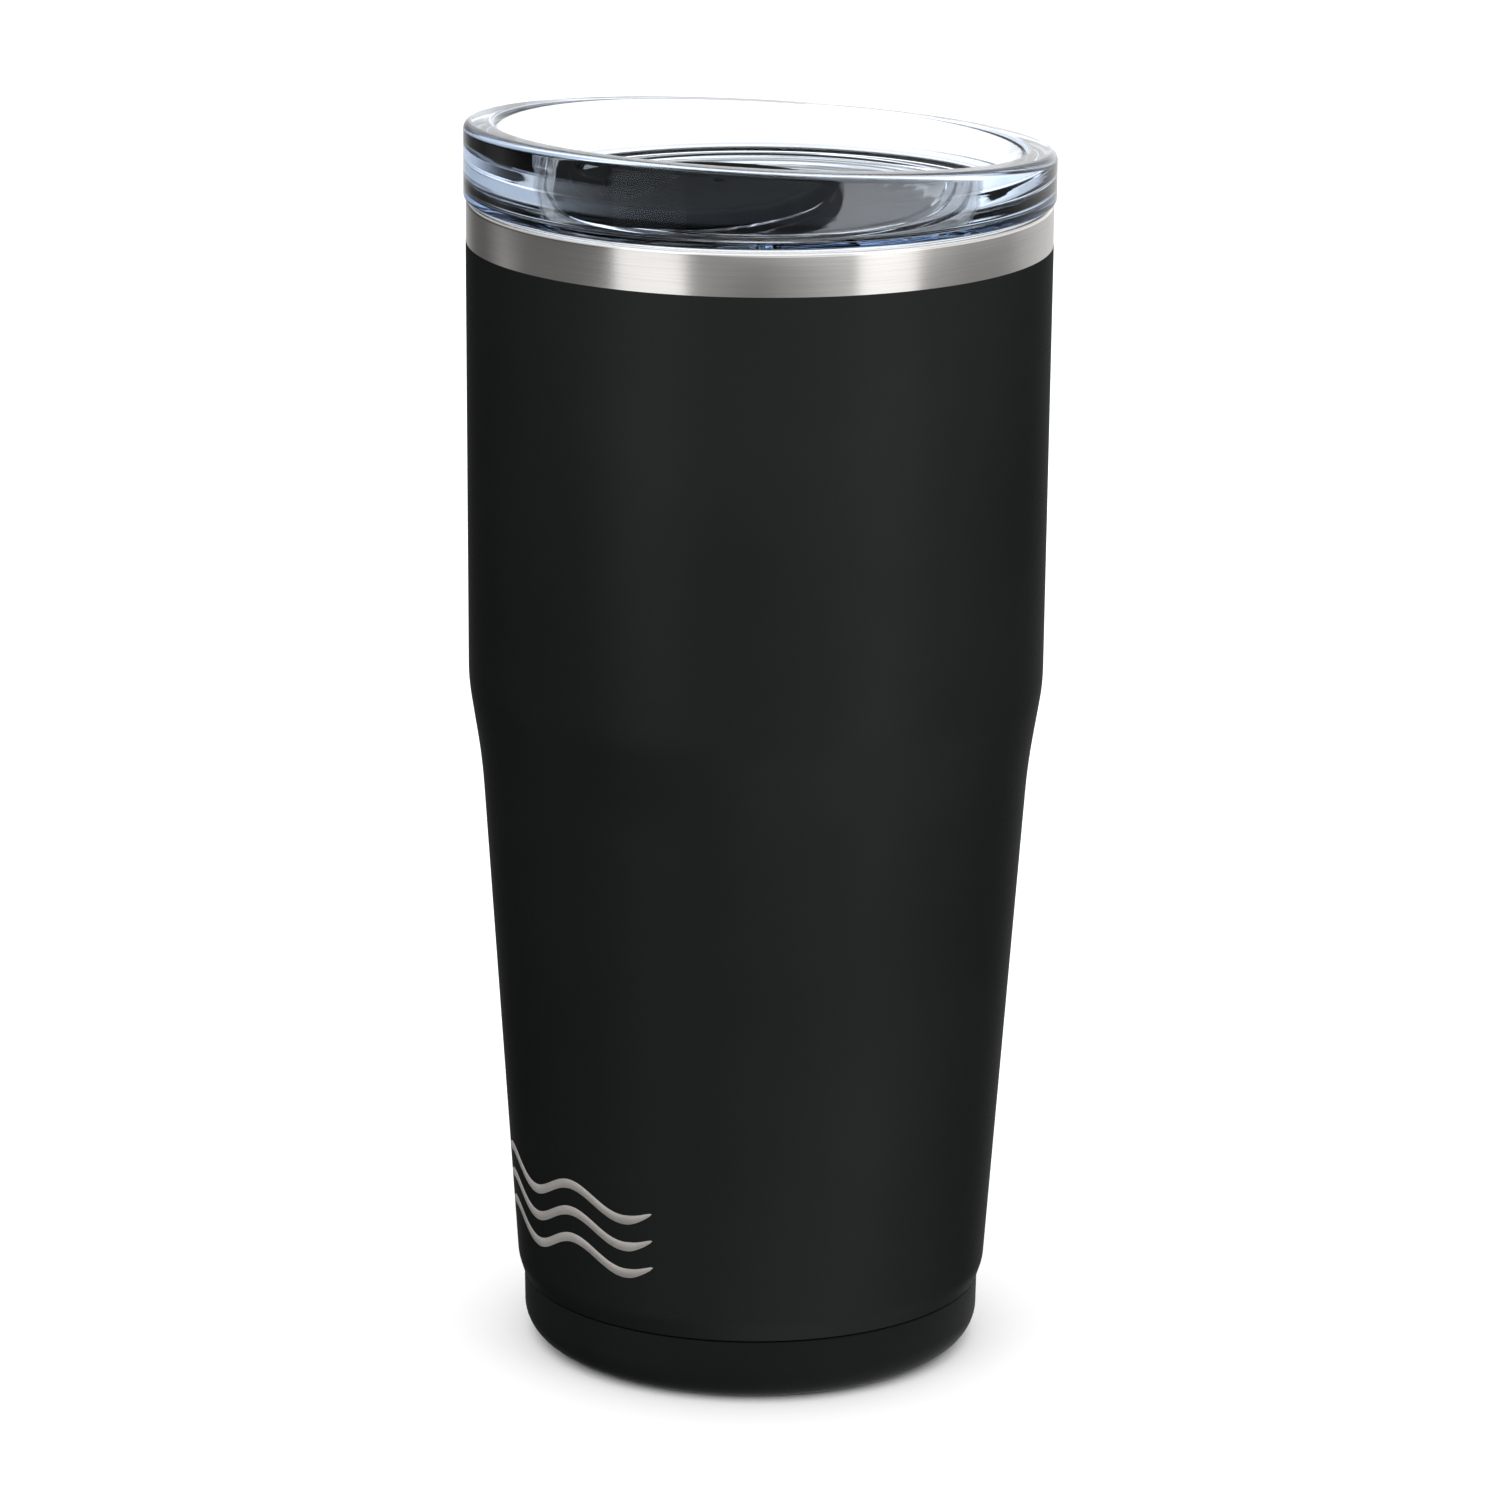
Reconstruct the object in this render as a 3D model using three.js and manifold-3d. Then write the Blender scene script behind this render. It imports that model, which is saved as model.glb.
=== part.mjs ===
// Insulated tumbler with a clear press-in lid and a turning dial.
//
// A double-walled steel cup (outer shell, inner liner, bottom disc) stands in a silicone boot. The
// shell is powder coated below a bare steel band at the lip. A clear lid presses into the mouth on a
// silicone gasket. Its rim slopes, highest at the front (-Y), where the sip opening is, and its bowl
// has a level floor. A black dial turns on the floor. One way it uncovers the sip opening, the other
// way the straw hole, and between them it closes both.
//
// Millimetres, +Z up. The origin is the centre of the boot's foot, on the surface it stands on.
import * as THREE from "three";
import { mergeVertices } from "three/addons/utils/BufferGeometryUtils.js";
import Module from "manifold-3d";

const wasm = await Module();
wasm.setup();

// ---- Fineness and fits --------------------------------------------------------------------------
const SEGMENTS = 40; // facets round a large turned piece
const SMALL_SEGMENTS = 20; // facets round a small one
const ARC_STEP = 30; // degrees of arc per facet of a fillet
const GAP = 0.3; // between pieces that touch
const CUT_PAST = 1; // how far a cutting tool runs past the face it cuts

// ---- Cup: outer form ----------------------------------------------------------------------------
const LIP_RADIUS = 44.45;
const CUP_HEIGHT = 180.7;
const BAND_HEIGHT = 6.6; // bare steel under the lip
const SHOULDER_HEIGHT = 105.9; // where the upper wall starts to turn in
const SHOULDER_INSET = 0.3; // how much smaller the shoulder is than the lip
const SHOULDER_FILLET = 32;
const WAIST_DROP = 12.8; // from the shoulder down to the lower cone
const WAIST_INSET = 2.35;
const WAIST_FILLET = 100;
const HEEL_INSET = 7.9; // where the lower cone ends, just over the boot
const HEEL_RISE = 2.4; // height of the turned-in heel
const HEEL_TURN_IN = 0.8;
const HEEL_FILLET = 10;

// ---- Cup: walls ---------------------------------------------------------------------------------
const COAT = 0.3; // powder coat
const STEEL = 0.5; // sheet thickness
const LIP_ROUND = 0.5;
const VACUUM_GAP = 3.8; // between shell and liner
const MOUTH_DEPTH = 13; // straight part of the liner that the gasket seals on
const MOUTH_TAPER = 8; // where the liner draws in below it
const LINER_FLOOR = 14.6; // height of the liner's underside
const LINER_CORNER = 9;

// ---- Boot, bottom disc and vacuum parts ----------------------------------------------------------
const BOOT_HEIGHT = 10.1;
const BOOT_INSET = 0.15; // boot's top edge, inside the heel's edge
const BOOT_DRAFT = 0.15;
const BOOT_WALL = 1.6;
const BOOT_FLOOR = 2.4;
const BOOT_CORNER = 5.2;
const FOOT_WIDTH = 6.5; // ring that the boot stands on
const FOOT_RECESS = 0.8;
const DISC_FLANGE = 2.4; // turned-down edge of the bottom disc
const DIMPLE_RADIUS = 6.5;
const DIMPLE_RISE = 1.5;
const PORT_RADIUS = 1.2; // evacuation hole
const BEAD_RADIUS = 3;
const BEAD_HEIGHT = 1;
const GETTER_RADIUS = 5;
const GETTER_HEIGHT = 1.4;
const STRAP_WIDTH = 3;
const STRAP_REACH = 4; // strap's feet, past the getter's edge
const STRAP_SHEET = 0.4;

// ---- Lid ----------------------------------------------------------------------------------------
const LID_OVERHANG = 0.35;
const RIM_RISE = 9.6; // rim above the lip, at the middle
const RIM_SLOPE = 3.87; // degrees, highest at the front
const RIM_WIDTH = 4.8;
const RIM_ROUND = 1.2;
const BOWL_DEPTH = 9.3; // floor below the rim, at the middle
const WALL_FOOT = 7.5; // width of the clear wall at the floor
const FLOOR_THICKNESS = 2.6;
const FLOOR_FILLET = 1;
const SKIRT_GAP = 1.2; // skirt to mouth wall
const SKIRT_WALL = 2.6;
const SKIRT_DEPTH = 8.7;
const GROOVE_TOP = 2.2; // below the lip
const GROOVE_HEIGHT = 4.6;
const GROOVE_DEPTH = 1.5;
const GASKET_LIP = 1; // height of each sealing lip

// ---- Dial, and the openings it covers ------------------------------------------------------------
const DIAL_RADIUS = 22;
const DIAL_EDGE_GAP = 1.3; // dial to the bowl's wall, at the front
const DIAL_THICKNESS = 2.5;
const DIAL_ROUND = 0.8;
const WELL_DEPTH = 1; // recess in the floor under the dial
const WELL_INSET = 1.2; // well inside the dial's edge
const SEAL_THICKNESS = 0.9;
const SIP_INSET = 1.8; // sip opening inside the well's edge
const SIP_DEPTH = 6;
const SIP_HALF_ANGLE = 25; // degrees, as all angles here, about the dial's axis
const STRAW_RADIUS = 4.25;
const STRAW_WALL = 1.75; // hub's seat to the straw hole
const LAND = 10; // degrees of closed floor between the sip opening and its window
const WINDOW_SPACING = 60; // degrees between the sip and straw windows
const VENT_RADIUS = 1;
const VENT_REACH = 10; // from the dial's axis
const VENT_AT = 120; // from the front
const GRIP_LENGTH = 23;
const GRIP_WIDTH = 6.5;
const GRIP_HEIGHT = 2.5;
const GRIP_INSET = 3.5; // grip's front end inside the dial's edge
const STOP_HALF_ANGLE = 3.5; // degrees
const STOP_HEIGHT = 2;
const STOP_WIDTH = 2;
const STEM_RADIUS = 3;
const STEM_BARB = 1;
const BARB_HEIGHT = 1.2;
const O_RING_SECTION = 0.7; // radius of the ring's section
const RETAINER_RADIUS = 7;
const RETAINER_HEIGHT = 2;

// ---- Places worked out from the sizes above -----------------------------------------------------
const slope = Math.tan(THREE.MathUtils.degToRad(RIM_SLOPE));
const coatTop = CUP_HEIGHT - BAND_HEIGHT;
const heelEdge = BOOT_HEIGHT + GAP;
const heelEdgeRadius = LIP_RADIUS - HEEL_INSET - HEEL_TURN_IN;
const shellOffset = COAT + GAP; // body outline to the steel under the coat
const shellInside = shellOffset + STEEL;
const linerOutside = shellInside + VACUUM_GAP;
const linerInside = linerOutside + STEEL;
const linerFloorTop = LINER_FLOOR + STEEL;
const mouthOutside = LIP_RADIUS - shellInside - GAP;
const mouthRadius = mouthOutside - STEEL;
const bootRadius = heelEdgeRadius - BOOT_INSET;
const seatRadius = bootRadius - BOOT_WALL - GAP; // steel that the boot grips
const shellFoot = BOOT_FLOOR + GAP;
const discRadius = seatRadius - STEEL - GAP;
const discTop = shellFoot + DISC_FLANGE;

const lidRadius = LIP_RADIUS + LID_OVERHANG;
const flange = CUP_HEIGHT + GAP; // underside of the lid's wall
const rim = CUP_HEIGHT + RIM_RISE;
const floor = rim - BOWL_DEPTH;
const floorRadius = lidRadius - WALL_FOOT;
const skirtRadius = mouthRadius - SKIRT_GAP;
const skirtInside = skirtRadius - SKIRT_WALL;
const grooveRadius = skirtRadius - GROOVE_DEPTH;
const grooveTop = CUP_HEIGHT - GROOVE_TOP;
const grooveFoot = grooveTop - GROOVE_HEIGHT;

// Heights from here on are above the bowl's floor, and radii are about the dial's axis.
const dialOffset = floorRadius - DIAL_EDGE_GAP - DIAL_RADIUS; // towards the front
const wellRadius = DIAL_RADIUS - WELL_INSET;
const sealFoot = GAP - WELL_DEPTH;
const sealTop = sealFoot + SEAL_THICKNESS;
const dialFoot = sealTop + GAP;
const dialTop = dialFoot + DIAL_THICKNESS;
const ringMiddle = STEM_RADIUS + GAP + O_RING_SECTION;
const ringHeight = sealFoot + O_RING_SECTION;
const ringSeat = ringMiddle + O_RING_SECTION + GAP;
const ringRoof = ringHeight + O_RING_SECTION + GAP;
const sipOutside = wellRadius - SIP_INSET;
const sipInside = sipOutside - SIP_DEPTH;
const strawReach = ringSeat + STRAW_WALL + STRAW_RADIUS;
const dialTurn = 2 * SIP_HALF_ANGLE + LAND; // from closed to either limit
const strawAt = 360 - WINDOW_SPACING - 2 * dialTurn; // from the front
const retainerTop = -FLOOR_THICKNESS - GAP;
const retainerFoot = retainerTop - RETAINER_HEIGHT;
const barbTop = retainerFoot - GAP;
const barbFoot = barbTop - BARB_HEIGHT;

// ---- Materials ----------------------------------------------------------------------------------
function finish(color, roughness, metalness) {
  return new THREE.MeshStandardMaterial({ color, roughness, metalness });
}

const brushedSteel = finish(0xb8b5b0, 0.32, 1);
const blackCoat = finish(0x202221, 0.6, 0);
const blackSilicone = finish(0x1b1c1c, 0.75, 0);
const blackPlastic = finish(0x141515, 0.3, 0);
const glassSeal = finish(0x5a4a3a, 0.4, 0);
const getterAlloy = finish(0x6e6e6e, 0.7, 0.6);
const clearPlastic = new THREE.MeshStandardMaterial({
  color: 0xe8eef2,
  roughness: 0.05,
  metalness: 0,
  transparent: true,
  opacity: 0.35,
});

// ---- Outlines -----------------------------------------------------------------------------------

/** One rounded corner at p, between its neighbours a and b. The fillet is limited by its walls. */
function roundedCorner(a, p, b, fillet) {
  const toA = a.clone().sub(p);
  const toB = b.clone().sub(p);
  const room = 0.49 * Math.min(toA.length(), toB.length());
  toA.normalize();
  toB.normalize();
  const half = Math.acos(THREE.MathUtils.clamp(toA.dot(toB), -1, 1)) / 2;
  const reach = Math.min(fillet / Math.tan(half), room);
  const radius = reach * Math.tan(half);
  const centre = toA.clone().add(toB).setLength(radius / Math.sin(half)).add(p);
  const start = toA.multiplyScalar(reach).add(p).sub(centre);
  const end = toB.multiplyScalar(reach).add(p).sub(centre);
  const sweep = Math.atan2(start.cross(end), start.dot(end));
  const steps = Math.max(2, Math.ceil(THREE.MathUtils.radToDeg(Math.abs(sweep)) / ARC_STEP));
  const turn = (i) => start.clone().rotateAround(new THREE.Vector2(), (sweep * i) / steps).add(centre);
  return Array.from({ length: steps + 1 }, (_, i) => turn(i));
}

/** Points through corners given as [r, z] or [r, z, fillet]. */
function outline(corners, closed = false) {
  const points = corners.map(([r, z]) => new THREE.Vector2(r, z));
  const n = points.length;
  return corners.flatMap(([, , fillet], i) => {
    const inside = closed || (i > 0 && i < n - 1);
    if (!fillet || !inside) return [points[i]];
    return roundedCorner(points[(i + n - 1) % n], points[i], points[(i + 1) % n], fillet);
  });
}

/** The cup's outer face from the heel's edge up to the band, moved inwards by inset. */
function bodyFace(inset) {
  const face = outline([
    [heelEdgeRadius, heelEdge],
    [LIP_RADIUS - HEEL_INSET, heelEdge + HEEL_RISE, HEEL_FILLET],
    [LIP_RADIUS - WAIST_INSET, SHOULDER_HEIGHT - WAIST_DROP, WAIST_FILLET],
    [LIP_RADIUS - SHOULDER_INSET, SHOULDER_HEIGHT, SHOULDER_FILLET],
    [LIP_RADIUS, coatTop],
  ]);
  return face.map((p) => new THREE.Vector2(p.x - inset, p.y));
}

/** The part of a face between two heights, with an end point at each. */
function between(face, low, high) {
  const at = (z) => {
    const i = Math.max(1, face.findIndex((p) => p.y >= z));
    const t = (z - face[i - 1].y) / (face[i].y - face[i - 1].y);
    return face[i - 1].clone().lerp(face[i], t);
  };
  const inner = face.filter((p) => p.y > low + GAP && p.y < high - GAP);
  return [at(low), ...inner, at(high)];
}

// ---- Solids -------------------------------------------------------------------------------------

/** A piece turned about Z from an outline that closes on itself or starts and ends on the axis. */
function turned(points, segments = SEGMENTS) {
  const onAxis = points[0].x === 0 && points.at(-1).x === 0;
  const path = onAxis ? points : [...points, points[0]];
  return new THREE.LatheGeometry(path, segments).rotateX(Math.PI / 2);
}

/** A flat ring sector between two radii and two angles from the front (-Y), between two heights. */
function sector(inside, outside, from, to, low, high) {
  const angle = (degrees) => THREE.MathUtils.degToRad(degrees - 90);
  const shape = new THREE.Shape();
  shape.absarc(0, 0, outside, angle(from), angle(to), false);
  shape.absarc(0, 0, inside, angle(to), angle(from), true);
  const options = { depth: high - low, bevelEnabled: false, curveSegments: 8 };
  return new THREE.ExtrudeGeometry(shape, options).translate(0, 0, low);
}

/** An upright round rod between two heights, reach from the axis at an angle from the front. */
function rod(radius, low, high, reach = 0, degrees = 0, sides = SMALL_SEGMENTS) {
  const angle = THREE.MathUtils.degToRad(degrees);
  const bar = new THREE.CylinderGeometry(radius, radius, high - low, sides).rotateX(Math.PI / 2);
  return bar.translate(reach * Math.sin(angle), -reach * Math.cos(angle), (low + high) / 2);
}

/** An upright bar with round ends that runs along Y, from its front end back. */
function bar(width, length, front, low, high) {
  const round = width / 2;
  const shape = new THREE.Shape();
  shape.absarc(0, front + round, round, Math.PI, 2 * Math.PI, false);
  shape.absarc(0, front + length - round, round, 0, Math.PI, false);
  const options = { depth: high - low, bevelEnabled: false, curveSegments: 6 };
  return new THREE.ExtrudeGeometry(shape, options).translate(0, 0, low);
}

/** A geometry as a solid that can be joined and cut. */
function solid(geometry) {
  const bare = new THREE.BufferGeometry().setAttribute("position", geometry.getAttribute("position"));
  if (geometry.index) bare.setIndex(geometry.index);
  const merged = mergeVertices(bare, 1e-4);
  const mesh = new wasm.Mesh({
    numProp: 3,
    vertProperties: merged.attributes.position.array,
    triVerts: new Uint32Array(merged.index.array),
  });
  return new wasm.Manifold(mesh);
}

/** A solid as a geometry again. */
function geometryOf(made) {
  const { vertProperties, triVerts } = made.getMesh();
  const geometry = new THREE.BufferGeometry();
  geometry.setAttribute("position", new THREE.BufferAttribute(vertProperties, 3));
  geometry.setIndex(new THREE.BufferAttribute(triVerts, 1));
  return geometry;
}

function piece(name, geometry, material) {
  const mesh = new THREE.Mesh(geometry, material);
  mesh.name = name;
  return mesh;
}

// ---- Cup pieces ---------------------------------------------------------------------------------

/** Steel shell: grips the boot below, turns in at the waist, and ends in the bare band at the lip. */
function outerShell() {
  const foot = heelEdge + GAP; // shoulder over the boot
  const outside = between(bodyFace(shellOffset), foot, coatTop);
  const inside = between(bodyFace(shellInside), foot + STEEL, coatTop).reverse();
  const lip = outline([
    [LIP_RADIUS, coatTop + GAP],
    [LIP_RADIUS, CUP_HEIGHT, LIP_ROUND],
    [LIP_RADIUS - shellInside, CUP_HEIGHT],
  ]);
  const seat = outline([
    [seatRadius - STEEL, foot + STEEL],
    [seatRadius - STEEL, shellFoot],
    [seatRadius, shellFoot],
    [seatRadius, foot],
  ]);
  outside.at(-1).y = coatTop + GAP;
  return turned([...outside, ...lip, ...inside, ...seat]);
}

/** Powder coat: a skin over the shell from the boot up to the band. */
function powderCoat() {
  return turned([...bodyFace(0), ...bodyFace(COAT).reverse()]);
}

/** Inner liner: a straight mouth for the gasket, drawn in below it to leave the vacuum gap. */
function innerLiner() {
  const mouthFoot = CUP_HEIGHT - MOUTH_DEPTH;
  const drawn = mouthFoot - MOUTH_TAPER;
  const wall = (inset, bottom, mouth) => {
    const upper = between(bodyFace(inset), bottom, drawn);
    const corner = upper.shift();
    const rounded = outline([
      [0, bottom],
      [corner.x, bottom, LINER_CORNER - (bottom - LINER_FLOOR)],
      [upper[0].x, upper[0].y],
    ]);
    const straight = [mouthFoot, CUP_HEIGHT].map((z) => new THREE.Vector2(mouth, z));
    return [...rounded.slice(0, -1), ...upper, ...straight];
  };
  const outside = wall(linerOutside, LINER_FLOOR, mouthOutside);
  const inside = wall(linerInside, linerFloorTop, mouthRadius);
  return turned([...outside, ...inside.reverse()]);
}

/** Bottom disc: closes the shell, with a raised dimple round the evacuation hole. */
function bottomDisc() {
  const under = discTop - STEEL;
  const disc = turned(
    outline([
      [0, under + DIMPLE_RISE],
      [DIMPLE_RADIUS, under + DIMPLE_RISE],
      [DIMPLE_RADIUS + DIMPLE_RISE, under],
      [discRadius - STEEL, under],
      [discRadius - STEEL, shellFoot],
      [discRadius, shellFoot],
      [discRadius, discTop],
      [DIMPLE_RADIUS + DIMPLE_RISE + STEEL / 2, discTop],
      [DIMPLE_RADIUS + STEEL / 2, discTop + DIMPLE_RISE],
      [0, discTop + DIMPLE_RISE],
    ]),
  );
  const port = rod(PORT_RADIUS, under, discTop + DIMPLE_RISE + CUT_PAST, 0, 0, SMALL_SEGMENTS / 2);
  return geometryOf(solid(disc).subtract(solid(port)));
}

/** Sealing bead: melted glass that closes the evacuation hole from below. */
function vacuumSeal() {
  const top = discTop - STEEL + DIMPLE_RISE - GAP;
  return turned(
    outline([
      [0, top - BEAD_HEIGHT],
      [BEAD_RADIUS, top - BEAD_HEIGHT, BEAD_HEIGHT],
      [BEAD_RADIUS, top],
      [0, top],
    ]),
    SMALL_SEGMENTS,
  );
}

/** Getter wafer: takes up gas in the vacuum space, against the liner's underside. */
function getterWafer() {
  const top = LINER_FLOOR - GAP;
  return rod(GETTER_RADIUS, top - GETTER_HEIGHT, top);
}

/** Getter strap: a bent strip, spot welded to the liner at both feet, which holds the wafer. */
function getterStrap() {
  const low = LINER_FLOOR - 2 * GAP - GETTER_HEIGHT; // strap's inner face, under the wafer
  const high = LINER_FLOOR - GAP;
  const span = GETTER_RADIUS + GAP;
  const side = [
    [-span - STRAP_REACH, high],
    [-span - STRAP_REACH, high - STRAP_SHEET],
    [-span - STRAP_SHEET, high - STRAP_SHEET],
    [-span - STRAP_SHEET, low - STRAP_SHEET],
    [span + STRAP_SHEET, low - STRAP_SHEET],
    [span + STRAP_SHEET, high - STRAP_SHEET],
    [span + STRAP_REACH, high - STRAP_SHEET],
    [span + STRAP_REACH, high],
    [span, high],
    [span, low],
    [-span, low],
    [-span, high],
  ];
  const shape = new THREE.Shape(side.map(([x, z]) => new THREE.Vector2(x, z)));
  const strip = new THREE.ExtrudeGeometry(shape, { depth: STRAP_WIDTH, bevelEnabled: false });
  return strip.rotateX(Math.PI / 2).translate(0, STRAP_WIDTH / 2, 0);
}

/** Boot: a silicone cup stretched over the shell's foot, standing on a ring. */
function baseBoot() {
  const footOutside = bootRadius - BOOT_DRAFT - BOOT_CORNER;
  const hole = bootRadius - BOOT_WALL;
  return turned(
    outline([
      [0, FOOT_RECESS],
      [footOutside - FOOT_WIDTH - FOOT_RECESS, FOOT_RECESS],
      [footOutside - FOOT_WIDTH, 0],
      [bootRadius - BOOT_DRAFT, 0, BOOT_CORNER],
      [bootRadius, BOOT_HEIGHT],
      [hole, BOOT_HEIGHT],
      [hole, BOOT_FLOOR, FOOT_RECESS],
      [0, BOOT_FLOOR],
    ]),
  );
}

// ---- Lid pieces ---------------------------------------------------------------------------------

/** Tilts the lid's rim, by raising what is nearer the rim than the floor in step with -Y. */
function tiltedRim(geometry) {
  const at = geometry.getAttribute("position");
  const halfway = (floor + rim) / 2;
  for (let i = 0; i < at.count; i += 1) {
    if (at.getZ(i) > halfway) at.setZ(i, at.getZ(i) - slope * at.getY(i));
  }
  return geometry;
}

/** Moves a geometry from the dial's own frame into the part's frame. */
function onFloor(geometry) {
  return geometry.translate(0, -dialOffset, floor);
}

/** Lid body: one clear moulding of wall, level floor and skirt, with its openings and the stop. */
function lidBody() {
  const under = floor - FLOOR_THICKNESS;
  const form = tiltedRim(
    turned(
      outline([
        [0, under],
        [skirtInside, under],
        [skirtInside, flange - SKIRT_DEPTH],
        [skirtRadius, flange - SKIRT_DEPTH],
        [skirtRadius, grooveFoot],
        [grooveRadius, grooveFoot],
        [grooveRadius, grooveTop],
        [skirtRadius, grooveTop],
        [skirtRadius, flange],
        [lidRadius, flange],
        [lidRadius, rim, RIM_ROUND],
        [lidRadius - RIM_WIDTH, rim, RIM_ROUND],
        [floorRadius, floor, FLOOR_FILLET],
        [0, floor],
      ]),
    ),
  );
  const low = -FLOOR_THICKNESS - CUT_PAST;
  const high = CUT_PAST;
  const cut = (geometry) => solid(onFloor(geometry));
  const stopInside = wellRadius + GAP;
  const stop = sector(
    stopInside,
    stopInside + STOP_WIDTH,
    strawAt - STOP_HALF_ANGLE,
    strawAt + STOP_HALF_ANGLE,
    -GAP,
    STOP_HEIGHT,
  );
  const made = solid(form)
    .add(cut(stop))
    .subtract(cut(rod(wellRadius, -WELL_DEPTH, high, 0, 0, SEGMENTS)))
    .subtract(cut(sector(sipInside, sipOutside, -SIP_HALF_ANGLE, SIP_HALF_ANGLE, low, high)))
    .subtract(cut(rod(STRAW_RADIUS, low, high, strawReach, strawAt)))
    .subtract(cut(rod(VENT_RADIUS, low, high, VENT_REACH, VENT_AT, SMALL_SEGMENTS / 2)))
    .subtract(cut(rod(STEM_RADIUS + GAP, low, high)));
  return geometryOf(made);
}

/** Lid gasket: a silicone ring in the skirt's groove, with a lip at its top and one at its foot. */
function lidGasket() {
  const inside = grooveRadius + GAP;
  const tip = mouthRadius - GAP;
  const top = grooveTop - GAP;
  const foot = grooveFoot + GAP;
  return turned(
    outline(
      [
        [inside, foot],
        [skirtRadius, foot],
        [tip, foot + GASKET_LIP / 2],
        [tip, foot + GASKET_LIP],
        [skirtRadius, foot + GASKET_LIP + GAP],
        [skirtRadius, top - GASKET_LIP - GAP],
        [tip, top - GASKET_LIP / 2],
        [tip, top],
        [inside, top],
      ],
      true,
    ),
  );
}

/** Cuts the dial's three windows, which lie over the openings when the dial is turned. */
function withWindows(made, low, high) {
  const sip = sector(
    sipInside,
    sipOutside,
    -dialTurn - SIP_HALF_ANGLE,
    -dialTurn + SIP_HALF_ANGLE,
    low - CUT_PAST,
    high + CUT_PAST,
  );
  const straw = rod(STRAW_RADIUS, low - CUT_PAST, high + CUT_PAST, strawReach, strawAt + dialTurn);
  const vent = rod(
    VENT_RADIUS,
    low - CUT_PAST,
    high + CUT_PAST,
    VENT_REACH,
    VENT_AT - dialTurn,
    SMALL_SEGMENTS / 2,
  );
  return made.subtract(solid(sip)).subtract(solid(straw)).subtract(solid(vent));
}

/** Mode dial: a disc with a finger grip, a notch that meets the stop, and a barbed stem. */
function modeDial() {
  const disc = turned(
    outline([
      [0, barbFoot],
      [STEM_RADIUS, barbFoot],
      [STEM_RADIUS + STEM_BARB, barbTop - GAP],
      [STEM_RADIUS + STEM_BARB, barbTop],
      [STEM_RADIUS, barbTop],
      [STEM_RADIUS, ringRoof],
      [ringSeat, ringRoof],
      [ringSeat, dialFoot],
      [DIAL_RADIUS, dialFoot],
      [DIAL_RADIUS, dialTop, DIAL_ROUND],
      [0, dialTop],
    ]),
  );
  const grip = bar(GRIP_WIDTH, GRIP_LENGTH, GRIP_INSET - DIAL_RADIUS, dialTop - GAP, dialTop + GRIP_HEIGHT);
  const past = STOP_HALF_ANGLE + THREE.MathUtils.radToDeg(GAP / wellRadius);
  const notch = sector(
    wellRadius,
    DIAL_RADIUS + CUT_PAST,
    strawAt - dialTurn - past,
    strawAt + dialTurn + past,
    dialFoot - CUT_PAST,
    STOP_HEIGHT + GAP,
  );
  return geometryOf(withWindows(solid(disc).add(solid(grip)).subtract(solid(notch)), dialFoot, dialTop));
}

/** Dial seal: a silicone pad under the dial, in the well, with the dial's windows. */
function dialSeal() {
  const pad = turned(
    outline(
      [
        [ringSeat + GAP, sealFoot],
        [wellRadius - GAP, sealFoot],
        [wellRadius - GAP, sealTop],
        [ringSeat + GAP, sealTop],
      ],
      true,
    ),
  );
  return geometryOf(withWindows(solid(pad), sealFoot, sealTop));
}

/** O-ring round the stem, between the dial and the well's floor. */
function stemRing() {
  return new THREE.TorusGeometry(ringMiddle, O_RING_SECTION, 8, SMALL_SEGMENTS).translate(0, 0, ringHeight);
}

/** Retainer: a ring snapped over the stem's barb, under the floor. */
function stemRetainer() {
  const hole = STEM_RADIUS + GAP;
  return turned(
    outline(
      [
        [hole, retainerFoot],
        [RETAINER_RADIUS, retainerFoot],
        [RETAINER_RADIUS, retainerTop],
        [hole, retainerTop],
      ],
      true,
    ),
    SMALL_SEGMENTS,
  );
}

// ---- Assembly -----------------------------------------------------------------------------------
const cup = new THREE.Group();
cup.add(
  piece("outer_shell", outerShell(), brushedSteel),
  piece("powder_coat", powderCoat(), blackCoat),
  piece("inner_liner", innerLiner(), brushedSteel),
  piece("bottom_disc", bottomDisc(), brushedSteel),
  piece("vacuum_seal", vacuumSeal(), glassSeal),
  piece("getter_wafer", getterWafer(), getterAlloy),
  piece("getter_strap", getterStrap(), brushedSteel),
  piece("base_boot", baseBoot(), blackSilicone),
);

const lid = new THREE.Group();
lid.add(piece("lid_body", lidBody(), clearPlastic), piece("lid_gasket", lidGasket(), blackSilicone));

const dial = new THREE.Group();
dial.position.set(0, -dialOffset, floor);
dial.add(
  piece("mode_dial", modeDial(), blackPlastic),
  piece("dial_seal", dialSeal(), blackSilicone),
  piece("stem_ring", stemRing(), blackSilicone),
  piece("stem_retainer", stemRetainer(), blackPlastic),
);
lid.add(dial);

const tumbler = new THREE.Group();
tumbler.add(cup, lid);
export default tumbler;
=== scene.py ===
"""Looks of an insulated tumbler: steel cup, silicone boot, clear press-in lid and turning dial.

Metres, +Z up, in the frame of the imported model. Sizes written in this file are millimetres, as a
drawing gives them, and MM turns them into metres. The lid's front, where the sip opening is, faces -Y.
"""

import logging
import math
from collections.abc import Sequence
from dataclasses import dataclass, field
from enum import Enum

import bmesh
import bpy
from mathutils import Matrix, Vector


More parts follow.
